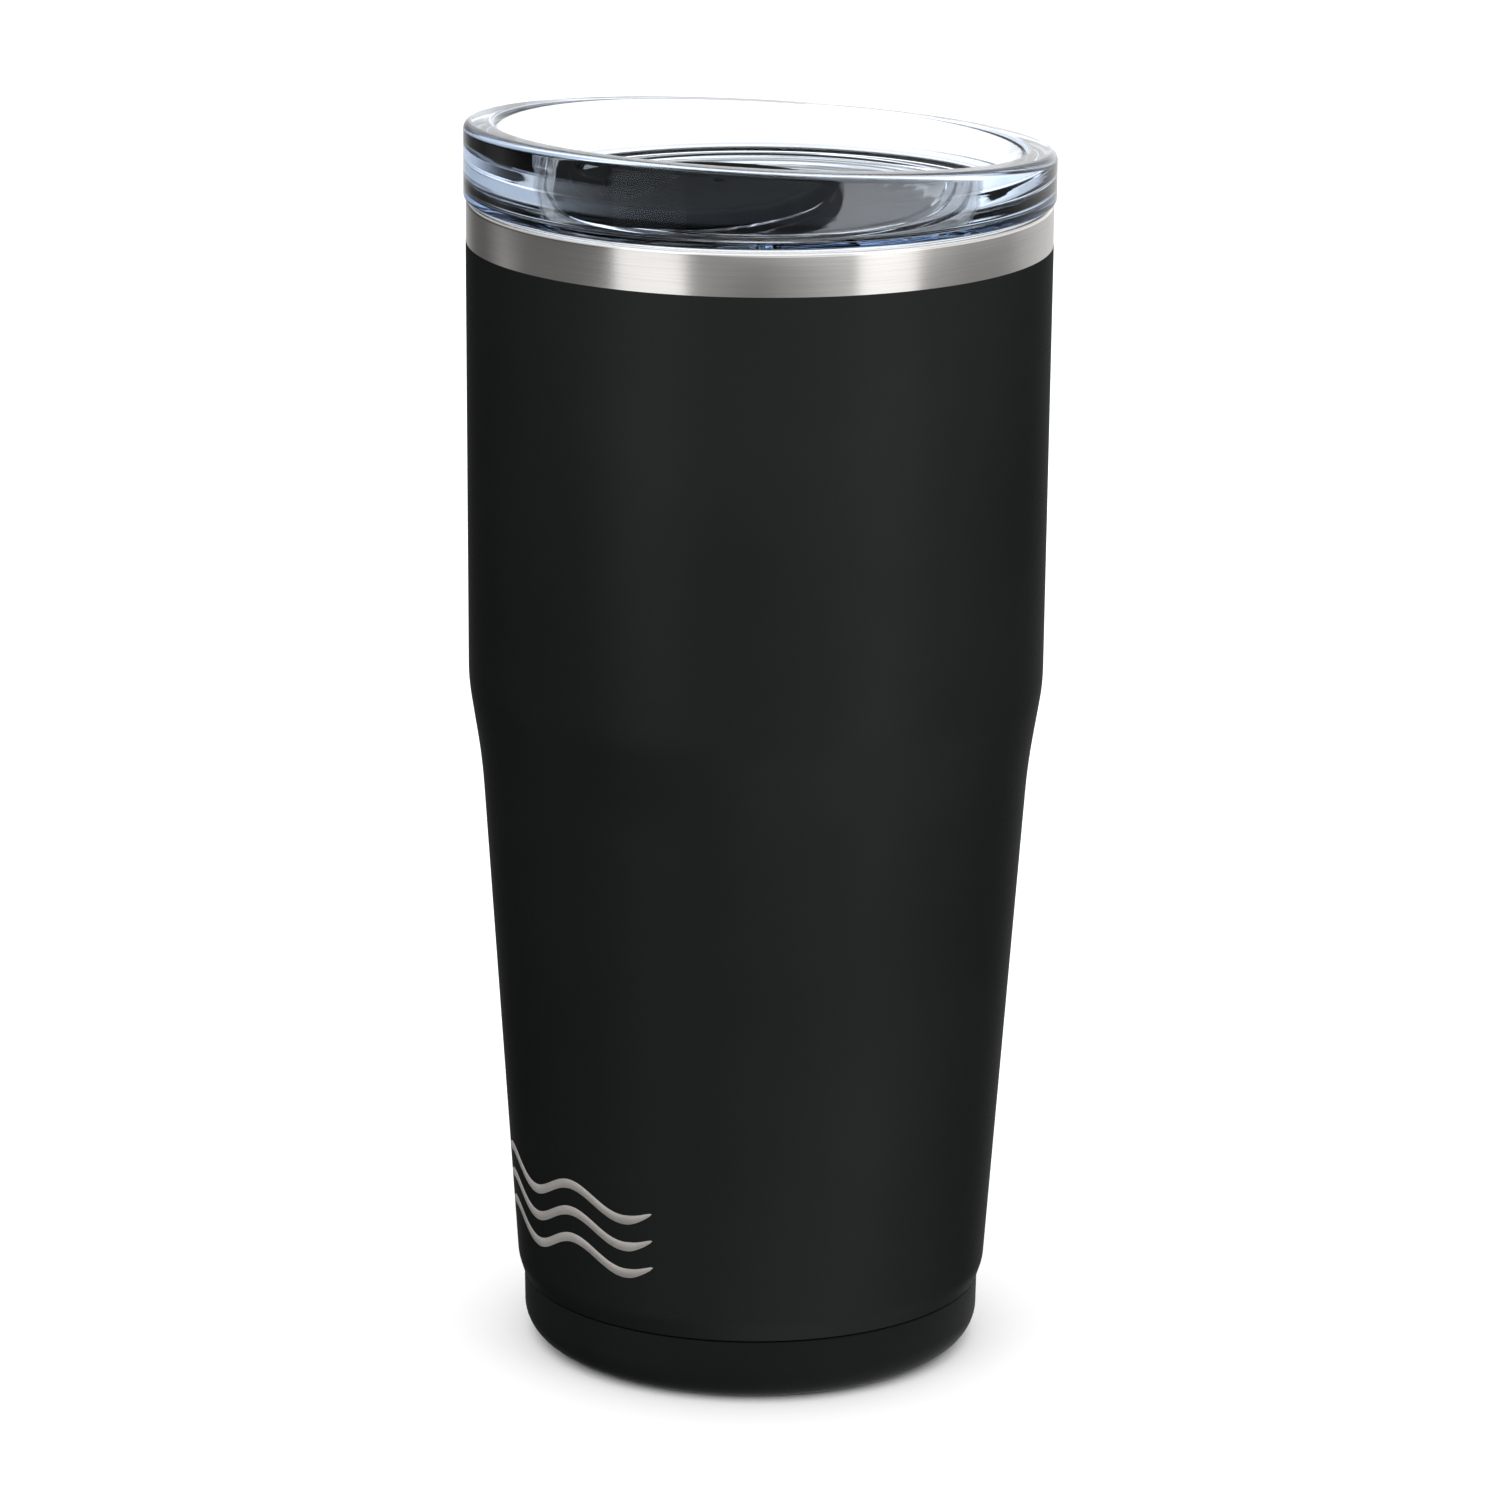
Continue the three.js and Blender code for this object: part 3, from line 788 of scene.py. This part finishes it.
    def build_mark(self) -> bpy.types.Object:
        """Returns the generic mark: three stacked waves, a hair proud of the coat."""
        bm = bmesh.new()
        steps = 120
        for row in range(self.wave_rows):
            rails: list[list[bmesh.types.BMVert]] = [[], []]
            for i in range(steps + 1):
                t = i / steps
                degrees = self.wave_middle + (t - 0.5) * self.wave_angle
                taper = min(1.0, 10 * t, 10 * (1 - t)) ** 0.5
                wave = self.wave_height * math.sin(2 * math.pi * 2.0 * t)
                middle = self.wave_foot + self.wave_pitch * row + wave
                for rail, side in zip(rails, (-0.5, 0.5)):
                    z = middle + side * self.wave_line * taper
                    r = self.radius_at(z) + 0.02
                    a = math.radians(degrees)
                    rail.append(bm.verts.new(Vector((r * math.sin(a), -r * math.cos(a), z)) * MM))
            for i in range(steps):
                bm.faces.new((rails[0][i], rails[0][i + 1], rails[1][i + 1], rails[1][i]))
        made = new_object("wave_mark", bm)
        thick = made.modifiers.new("thickness", "SOLIDIFY")
        thick.thickness = 0.03 * MM
        thick.offset = 0.0
        return made

    def build(self) -> None:
        """Builds and dresses the cup."""
        bare = BrushedSteel("bare_steel").material()
        satin = BrushedSteel("liner_steel", (0.88, 0.875, 0.865), 0.22, 0.4, stroke_depth=0.0008).material()
        pieces = (
            (self.build_coat(), PowderCoat("powder_coat").material(), "powder_coat", ("powder_coat",)),
            (self.build_shell(), bare, "bare_steel", ("outer_shell",)),
            (self.build_liner(), satin, "liner_steel", ("inner_liner",)),
            (self.build_mark(), EtchedMark().material(), "bare_steel", ()),
        )
        for piece, finish, slot, nodes in pieces:
            dress(piece, finish)
            settle(piece, Body.CUP, slot, *nodes)


@dataclass
class Foot:
    """Silicone boot, and the bottom disc and vacuum parts that it hides."""

    wall: float = 1.6
    floor: float = 2.4
    corner: float = 5.2
    draft: float = 0.15
    ring: float = 6.5
    recess: float = 0.8

    def build_boot(self) -> bpy.types.Object:
        """Returns the boot, standing on a ring, with a rolled upper edge."""
        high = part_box("base_boot")[1]
        radius, top = high.x / MM, high.z / MM
        ring_out = radius - self.draft - self.corner
        ring_in = ring_out - self.ring
        hole = radius - self.wall
        points = Outline(
            (0, self.recess + 0.35),
            (ring_in - 7.0, self.recess + 0.35, 0.3),
            (ring_in - 7.4, self.recess, 0.3),
            (ring_in - self.recess, self.recess, 0.3),
            (ring_in, 0.0, 0.3),
            (radius - self.draft, 0.0, self.corner),
            (radius, top, 0.35),
            (hole, top, 0.2),
            (hole, self.floor, 0.8),
            (0, self.floor),
        ).points(6.0)
        return new_object("boot", turned_mesh(points, AROUND))

    def build(self) -> None:
        """Builds the boot and dresses the parts inside it."""
        boot = self.build_boot()
        dress(boot, Silicone("boot_silicone").material())
        settle(boot, Body.CUP, "boot_silicone", "base_boot")
        steel = BrushedSteel("disc_steel", roughness=0.32, anisotropy=0.2).material()
        hidden = {
            "bottom_disc": steel,
            "getter_strap": steel,
            "vacuum_seal": SolderGlass().material(),
            "getter_wafer": PressedPowder().material(),
        }
        for node, finish in hidden.items():
            dress(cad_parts[node], finish)
            log.info("%s keeps its CAD shape, finish %s", node, finish.name)


# ---- Lid ----------------------------------------------------------------------------------------


@dataclass
class Dial:
    """The turning dial, its seal, O-ring and retainer, about the dial's own axis.

    Heights are above the bowl's floor.
    """

    edge_round: float = 0.9
    well_depth: float = 1.0
    well_inset: float = 1.2
    sip: Point = (13.0, 19.0)
    sip_half: float = 25.0
    straw_radius: float = 4.25
    straw_reach: float = 11.0
    vent_radius: float = 1.0
    vent_reach: float = 10.0
    vent_at: float = 120.0
    straw_at: float = 180.0
    turn: float = 60.0
    grip_length: float = 23.0
    grip_width: float = 6.5
    grip_inset: float = 3.5
    stem: float = 3.0
    axis: Point = field(init=False)
    radius: float = field(init=False)
    foot: float = field(init=False)
    top: float = field(init=False)
    grip_top: float = field(init=False)

    def __post_init__(self) -> None:
        """Reads the frame's sizes."""
        low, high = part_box("mode_dial")
        self.axis = (0.0, (low.y + high.y) / 2 / MM)
        self.radius = (high.x - low.x) / 2 / MM
        self.grip_top = high.z / MM
        self.top = self.grip_top - 2.5
        self.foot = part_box("dial_seal")[1].z / MM + 0.3

    def direction(self, reach: float, degrees: float) -> Point:
        """Returns the point at a reach from the dial's axis, at an angle from the front."""
        a = math.radians(degrees)
        return (self.axis[0] + reach * math.sin(a), self.axis[1] - reach * math.cos(a))

    def openings(self, turned: float, levels: Sequence[tuple[float, float]]) -> list[bmesh.types.BMesh]:
        """Returns the tools that cut the sip opening, straw hole and vent.

        Args:
            turned: degrees that the windows are turned from their openings in the lid.
            levels: (z, growth) of each tool's rings.

        Returns:
            Three closed meshes.
        """
        sip = arc_slot(*self.sip, -turned, self.sip_half, self.axis)
        straw_at = self.straw_at + turned
        vent_at = self.vent_at - turned
        straw = circle(self.straw_radius, self.direction(self.straw_reach, straw_at))
        vent = circle(self.vent_radius, self.direction(self.vent_reach, vent_at), 32)
        return [prism_mesh(outline, levels) for outline in (sip, straw, vent)]

    def build_disc(self) -> bpy.types.Object:
        """Returns the dial: a slightly dished disc with windows, on a barbed stem."""
        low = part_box("mode_dial")[0].z / MM
        rim = self.radius - 1.6
        points = Outline(
            (0, low),
            (self.stem, low, 0.4),
            (self.stem + 1.0, low + 0.9, 0.2),
            (self.stem + 1.0, low + 1.2, 0.1),
            (self.stem, low + 1.2),
            (self.stem, self.foot + 0.5),
            (5.0, self.foot + 0.5),
            (5.0, self.foot),
            (self.radius, self.foot, 0.3),
            (self.radius, self.top, self.edge_round),
            (rim, self.top, 0.3),
            (rim - 0.5, self.top - 0.35, 0.3),
            (0, self.top - 0.35),
        ).points()
        made = new_object("dial", turned_mesh(points, AROUND, self.axis))
        over, under = self.top + 1.0, self.foot - 1.0
        levels = [(under, 0.0), (self.top - 0.65, 0.0), (self.top - 0.35, 0.3), (over, 1.6)]
        cut(made, self.openings(self.turn, levels))
        step = arc_slot(self.radius - 1.2, self.radius + 2, self.straw_at, self.turn + 4.5, self.axis, 0.1)
        cut(made, [prism_mesh(step, [(under, 0.0), (self.foot + 1.8, 0.0)])])
        return made

    def build_grip(self) -> bpy.types.Object:
        """Returns the finger grip: a bar with round ends, drawn in towards its crest."""
        front = self.axis[1] - self.radius + self.grip_inset
        half, count = self.grip_width / 2, 20
        ends = ((front + half, math.pi), (front + self.grip_length - half, 0.0))
        outline = [
            (half * math.cos(start + math.pi * i / count), y + half * math.sin(start + math.pi * i / count))
            for y, start in ends
            for i in range(count + 1)
        ]
        seat = self.top - 0.36
        crest = self.grip_top
        levels = [(seat, 0.55), (seat + 0.12, 0.3), (seat + 0.4, 0.08), (crest - 1.2, -0.25)]
        levels += [(crest - 1.2 + 1.2 * math.sin(a), -0.25 - 1.2 * (1 - math.cos(a)))
                   for a in (math.pi / 12 * i for i in range(1, 6))]
        levels += [(crest, -1.5), (crest - 0.25, -2.2)]
        return new_object("dial_grip", prism_mesh(outline, levels))

    def build_pips(self) -> bpy.types.Object:
        """Returns three small raised pips by the dial's edge, one for each setting."""
        seat, height, size = self.top - 0.4, self.top - 0.08, 0.75
        bm = bmesh.new()
        for degrees, count in ((-self.turn, 1), (0.0, 2), (self.turn, 3)):
            for i in range(count):
                place = self.direction(self.radius - 2.9, 180.0 + degrees * 0.5 + (i - (count - 1) / 2) * 6.0)
                dome = [(0.0, height), (size * 0.55, height - 0.06), (size, seat), (0.0, seat - 0.1)]
                pip = turned_mesh(dome, 20, place)
                spare = bpy.data.meshes.new("pip")
                pip.to_mesh(spare)
                pip.free()
                bm.from_mesh(spare)
                bpy.data.meshes.remove(spare)
        return new_object("dial_pips", bm)

    def build_seal(self) -> bpy.types.Object:
        """Returns the silicone pad under the dial, with a raised bead round its edge."""
        low, high = (corner.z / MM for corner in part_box("dial_seal"))
        outside = self.radius - self.well_inset - 0.15
        points = Outline(
            (5.2, low, 0.2), (outside, low, 0.25), (outside, high, 0.25), (5.2, high, 0.2), closed=True
        ).points()
        made = new_object("dial_pad", turned_mesh(points, AROUND, self.axis))
        cut(made, self.openings(self.turn, [(low - 1, 0.0), (high + 1, 0.0)]))
        return made

    def build_ring(self) -> bpy.types.Object:
        """Returns the O-ring round the stem."""
        low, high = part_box("stem_ring")
        section = (high.z - low.z) / 2 / MM
        middle = (high.x - low.x) / 2 / MM - section
        centre = (low.z + high.z) / 2 / MM
        angles = (2 * math.pi * i / 24 for i in range(24))
        points = [(middle + section * math.cos(a), centre + section * math.sin(a)) for a in angles]
        return new_object("o_ring", turned_mesh(points, AROUND_SMALL, self.axis))

    def build_retainer(self) -> bpy.types.Object:
        """Returns the ring under the floor that holds the stem, with soft edges."""
        low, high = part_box("stem_retainer")
        outside = (high.x - low.x) / 2 / MM
        bottom, top = low.z / MM, high.z / MM
        hole = self.stem + 0.1
        points = Outline(
            (hole, bottom, 0.3), (outside, bottom, 0.6), (outside, top, 0.2), (hole, top, 0.1), closed=True
        ).points()
        return new_object("retainer", turned_mesh(points, AROUND_SMALL, self.axis))

    def build(self) -> None:
        """Builds and dresses the dial's pieces."""
        plastic = MouldedPlastic("dial_plastic").material()
        rubber = Silicone("seal_silicone", roughness=0.45).material()
        pieces = (
            (self.build_disc(), plastic, "dial_plastic", "mode_dial"),
            (self.build_grip(), plastic, "dial_plastic", "mode_dial"),
            (self.build_pips(), plastic, "dial_plastic", "mode_dial"),
            (self.build_seal(), rubber, "seal_silicone", "dial_seal"),
            (self.build_ring(), rubber, "seal_silicone", "stem_ring"),
            (self.build_retainer(), plastic, "dial_plastic", "stem_retainer"),
        )
        for piece, finish, slot, node in pieces:
            dress(piece, finish)
            settle(piece, Body.DIAL, slot, node)


@dataclass
class Lid:
    """The clear lid and its gasket."""

    slope: float = math.tan(math.radians(3.87))
    rim_width: float = 4.8
    rim_round: float = 1.35
    wall_foot: float = 7.5
    floor_thickness: float = 2.6
    floor_fillet: float = 1.6
    drip_ring: float = 34.4
    under_ring: float = 31.5
    ring_width: float = 1.9
    ring_height: float = 0.35
    skirt_radius: float = 41.15
    skirt_wall: float = 2.6
    groove_depth: float = 1.5
    groove_height: float = 4.6
    stop_half: float = 3.5
    radius: float = field(init=False)
    rim: float = field(init=False)
    floor: float = field(init=False)
    flange: float = field(init=False)
    skirt_foot: float = field(init=False)

    def __post_init__(self) -> None:
        """Reads the frame's sizes."""
        low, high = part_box("lid_body")
        self.radius = high.x / MM
        self.skirt_foot = low.z / MM
        self.rim = high.z / MM - self.slope * (self.radius - self.rim_round)
        self.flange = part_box("outer_shell")[1].z / MM + 0.3
        self.floor = self.flange

    def tilt(self, piece: bpy.types.Object) -> None:
        """Raises the rim in step with -Y, and leaves floor and flange level."""
        low, high = self.floor + 2.0, self.rim - 2.0
        for v in piece.data.vertices:
            share = min(1.0, max(0.0, (v.co.z / MM - low) / (high - low)))
            v.co.z -= share * self.slope * v.co.y

    def build_body(self, dial: Dial) -> bpy.types.Object:
        """Returns the clear moulding with its well, openings and stop.

        Args:
            dial: the dial that turns in the well.

        Returns:
            The lid's body.
        """
        foot = self.radius - self.wall_foot
        inside = self.skirt_radius - self.skirt_wall
        groove = self.skirt_radius - self.groove_depth
        groove_top = self.flange - 2.5
        groove_foot = groove_top - self.groove_height
        under = self.floor - self.floor_thickness
        half, rise = self.ring_width / 2, self.ring_height
        points = Outline(
            (0, under),
            (self.under_ring - half, under, 0.3),
            (self.under_ring - half / 2, under - rise, 0.3),
            (self.under_ring + half / 2, under - rise, 0.3),
            (self.under_ring + half, under, 0.3),
            (inside, under, 0.8),
            (inside, self.skirt_foot, 0.8),
            (self.skirt_radius, self.skirt_foot, 0.8),
            (self.skirt_radius, groove_foot, 0.2),
            (groove, groove_foot, 0.3),
            (groove, groove_top, 0.3),
            (self.skirt_radius, groove_top, 0.2),
            (self.skirt_radius, self.flange, 0.5),
            (self.radius, self.flange, 0.35),
            (self.radius, self.rim, self.rim_round),
            (self.radius - self.rim_width, self.rim, self.rim_round),
            (foot, self.floor, self.floor_fillet),
            (self.drip_ring + half, self.floor, 0.3),
            (self.drip_ring + half / 2, self.floor + rise, 0.3),
            (self.drip_ring - half / 2, self.floor + rise, 0.3),
            (self.drip_ring - half, self.floor, 0.3),
            (0, self.floor),
        ).points(7.5)
        made = new_object("clear_lid", turned_mesh(points, AROUND))
        self.tilt(made)
        well = dial.radius - dial.well_inset
        bed, over = self.floor - dial.well_depth, self.floor + 1
        tools = [prism_mesh(circle(well, dial.axis, AROUND), [(bed, 0.0), (over, 0.0)])]
        tools += dial.openings(0.0, [(under - 1, 1.2), (under + 0.2, 0.0), (bed - 0.2, 0.0), (over, 1.4)])
        tools.append(prism_mesh(circle(dial.stem + 0.3, dial.axis), [(under - 1, 0.0), (over, 0.0)]))
        cut(made, tools)
        stop = arc_slot(well + 0.3, well + 2.3, dial.straw_at, self.stop_half, dial.axis)
        levels = [(self.floor - 0.3, 0.0), (self.floor + 1.7, 0.0), (self.floor + 2, -0.3)]
        cut(made, [prism_mesh(stop, levels)], join=True)
        return made

    def build_gasket(self) -> bpy.types.Object:
        """Returns the gasket: a ring with an upper and a lower sealing lip."""
        low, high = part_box("lid_gasket")
        bottom, top, tip = low.z / MM, high.z / MM, high.x / MM
        inside = self.skirt_radius - self.groove_depth + 0.05
        body = self.skirt_radius
        points = Outline(
            (inside, bottom, 0.2),
            (body, bottom, 0.3),
            (tip, bottom + 0.35, 0.18),
            (tip, bottom + 1.0, 0.18),
            (body, bottom + 1.3, 0.3),
            (body, top - 1.3, 0.3),
            (tip, top - 0.65, 0.18),
            (tip, top, 0.18),
            (inside, top, 0.2),
            closed=True,
        ).points()
        return new_object("gasket", turned_mesh(points, AROUND))

    def build(self, dial: Dial) -> None:
        """Builds and dresses the lid."""
        body = self.build_body(dial)
        dress(body, ClearPlastic("clear_plastic").material())
        settle(body, Body.LID, "clear_plastic", "lid_body")
        gasket = self.build_gasket()
        dress(gasket, Silicone("gasket_silicone", roughness=0.4).material())
        settle(gasket, Body.GASKET, "seal_silicone", "lid_gasket")


# ---- Studio -------------------------------------------------------------------------------------


@dataclass
class Studio:
    """Pale floor, soft light from all round, two tall soft strips and the camera.

    Lengths are metres, apart from the lens. The world's tone goes with the direction it is seen in, as
    a unit vector. side_span and upper_span are the part of it to the camera's right. ring_height,
    ring_span, upper_from and zenith_from are the part of it upwards. Each stop of the ring is a bearing
    in degrees from the camera, positive to its right, and a tone.
    """

    camera_azimuth: float = 41.6
    camera_height_angle: float = 15.25
    camera_distance: float = 1.0259
    target_right: float = -0.0008
    target_height: float = 0.0941
    lens: float = 159.5
    roll: float = 0.497
    floor_radius: float = 9.0
    floor_tone: float = 0.86
    zenith: float = 1.92
    side_tones: Span = (0.03, 1.4)
    side_span: Span = (-0.62, 0.3)
    upper_tones: Span = (0.75, 1.05)
    upper_span: Span = (-0.85, 0.75)
    upper_from: Span = (0.06, 0.24)
    zenith_from: Span = (0.35, 0.75)
    ring_height: float = -0.26
    ring_span: Span = (0.1, 0.26)
    strip_height: float = 1.7
    strip_distance: float = 1.25
    strip_middle: float = 0.35
    ring: tuple[tuple[float, float], ...] = (
        (-180.0, 0.85), (-150.0, 0.16), (-134.0, 0.12), (-118.0, 0.42), (-104.0, 0.19), (-75.0, 0.22),
        (-40.0, 0.34), (-20.0, 0.42), (-5.0, 0.28), (2.0, 0.25), (16.0, 0.4), (31.0, 0.68),
        (60.0, 0.5), (87.0, 0.33), (110.0, 0.32), (125.0, 0.6), (142.0, 0.75), (180.0, 0.85),
    )

    def bearing(self, degrees: float, distance: float, height: float) -> Vector:
        """Returns a point at a bearing from the camera's own, a distance from the object."""
        a = math.radians(self.camera_azimuth + degrees)
        return Vector((distance * math.sin(a), -distance * math.cos(a), height))

    def build_camera(self) -> None:
        """Makes the camera."""
        a, e = math.radians(self.camera_azimuth), math.radians(self.camera_height_angle)
        back = Vector((math.sin(a) * math.cos(e), -math.cos(a) * math.cos(e), math.sin(e)))
        right = Vector((math.cos(a), math.sin(a), 0.0))
        target = right * self.target_right + Vector((0.0, 0.0, self.target_height))
        data = bpy.data.cameras.new("camera")
        data.lens = self.lens
        data.sensor_width = 36.0
        data.clip_start, data.clip_end = 0.05, 60.0
        camera = bpy.data.objects.new("camera", data)
        bpy.context.scene.collection.objects.link(camera)
        camera.rotation_mode = "QUATERNION"
        aim = (-back).to_track_quat("-Z", "Y")
        camera.rotation_quaternion = aim @ Matrix.Rotation(math.radians(self.roll), 3, "Z").to_quaternion()
        camera.location = target + back * self.camera_distance
        bpy.context.scene.camera = camera

    def build_floor(self) -> None:
        """Makes the floor, a wide matt disc that mirror-like finishes don't pick up."""
        bm = bmesh.new()
        bmesh.ops.create_circle(bm, cap_ends=True, segments=96, radius=self.floor_radius)
        floor = new_object("floor", bm)
        s = Shader("studio_floor")
        pale = (self.floor_tone,) * 3
        s.paint(s.noise(3.0), pale, [c * 1.01 for c in pale])
        s.set(Roughness=0.9, Specular_IOR_Level=0.1)
        dress(floor, s.material)
        floor.visible_glossy = False

    def build_world(self) -> None:
        """Makes the light all round: a ring whose tone goes with the bearing, and a sky above it."""
        world = bpy.data.worlds.new("studio")
        bpy.context.scene.world = world
        world.use_nodes = True
        nodes = Nodes(world.node_tree)
        turn = nodes.add("ShaderNodeVectorRotate", rotation_type="Z_AXIS")
        turn.inputs["Angle"].default_value = math.radians(90.0 - self.camera_azimuth)
        nodes.link(nodes.add("ShaderNodeTexCoord").outputs["Generated"], turn.inputs["Vector"])
        split = nodes.add("ShaderNodeSeparateXYZ")
        nodes.link(turn.outputs[0], split.inputs[0])
        x, y, z = split.outputs
        share = nodes.add("ShaderNodeMapRange", From_Min=-math.pi, From_Max=math.pi)
        nodes.link(nodes.math("ARCTAN2", y, x), share.inputs["Value"])
        ring = nodes.add("ShaderNodeValToRGB")
        stops = ring.color_ramp.elements
        for _ in self.ring[2:]:
            stops.new(0.5)
        for stop, (degrees, tone) in zip(stops, self.ring):
            stop.position = (degrees + 180.0) / 360.0
            stop.color = (tone, tone, tone, 1.0)
        nodes.link(share.outputs["Result"], ring.inputs["Fac"])
        side = nodes.eased(y, self.side_span, self.side_tones)
        upper = nodes.eased(y, self.upper_span, self.upper_tones)
        off = nodes.math("ABSOLUTE", nodes.math("ADD", z, -self.ring_height))
        low = nodes.blended(nodes.eased(off, self.ring_span), ring.outputs["Color"], side)
        middle = nodes.blended(nodes.eased(z, self.upper_from), low, upper)
        top = nodes.add("ShaderNodeValue")
        top.outputs[0].default_value = self.zenith
        background = world.node_tree.nodes["Background"]
        sky = nodes.blended(nodes.eased(z, self.zenith_from), middle, top.outputs[0])
        nodes.link(sky, background.inputs["Color"])
        background.inputs["Strength"].default_value = 1.0

    def build_strip(self, name: str, bearing: float, width: float, power: float) -> None:
        """Makes one tall soft strip light that faces the object.

        Args:
            name: the light's name.
            bearing: degrees round the object from the camera, to its right.
            width: in metres.
            power: in watts.
        """
        data = bpy.data.lights.new(name, "AREA")
        data.shape = "RECTANGLE"
        data.size, data.size_y = width, self.strip_height
        data.energy = power
        strip = bpy.data.objects.new(name, data)
        bpy.context.scene.collection.objects.link(strip)
        strip.location = self.bearing(bearing, self.strip_distance, self.strip_middle)
        strip.rotation_mode = "QUATERNION"
        facing = Vector((0.0, 0.0, self.strip_middle)) - strip.location
        strip.rotation_quaternion = facing.to_track_quat("-Z", "Y")

    def build(self) -> None:
        """Builds the studio."""
        self.build_camera()
        self.build_floor()
        self.build_world()
        self.build_strip("strip_left", -42.4, 0.66, 4.35)
        self.build_strip("strip_right", 50.6, 0.56, 3.25)
        bpy.context.scene.view_settings.view_transform = "Standard"
        width = 2 * self.floor_radius
        log.info("studio: floor %.0f m across, camera at %.1f degrees", width, self.camera_azimuth)


def main() -> None:
    """Builds the studio and the tumbler, piece by piece."""
    logging.basicConfig(level=logging.INFO, format="%(name)s: %(message)s")
    Studio().build()
    Cup().build()
    Foot().build()
    dial = Dial()
    Lid().build(dial)
    dial.build()


if __name__ == "__main__":
    main()
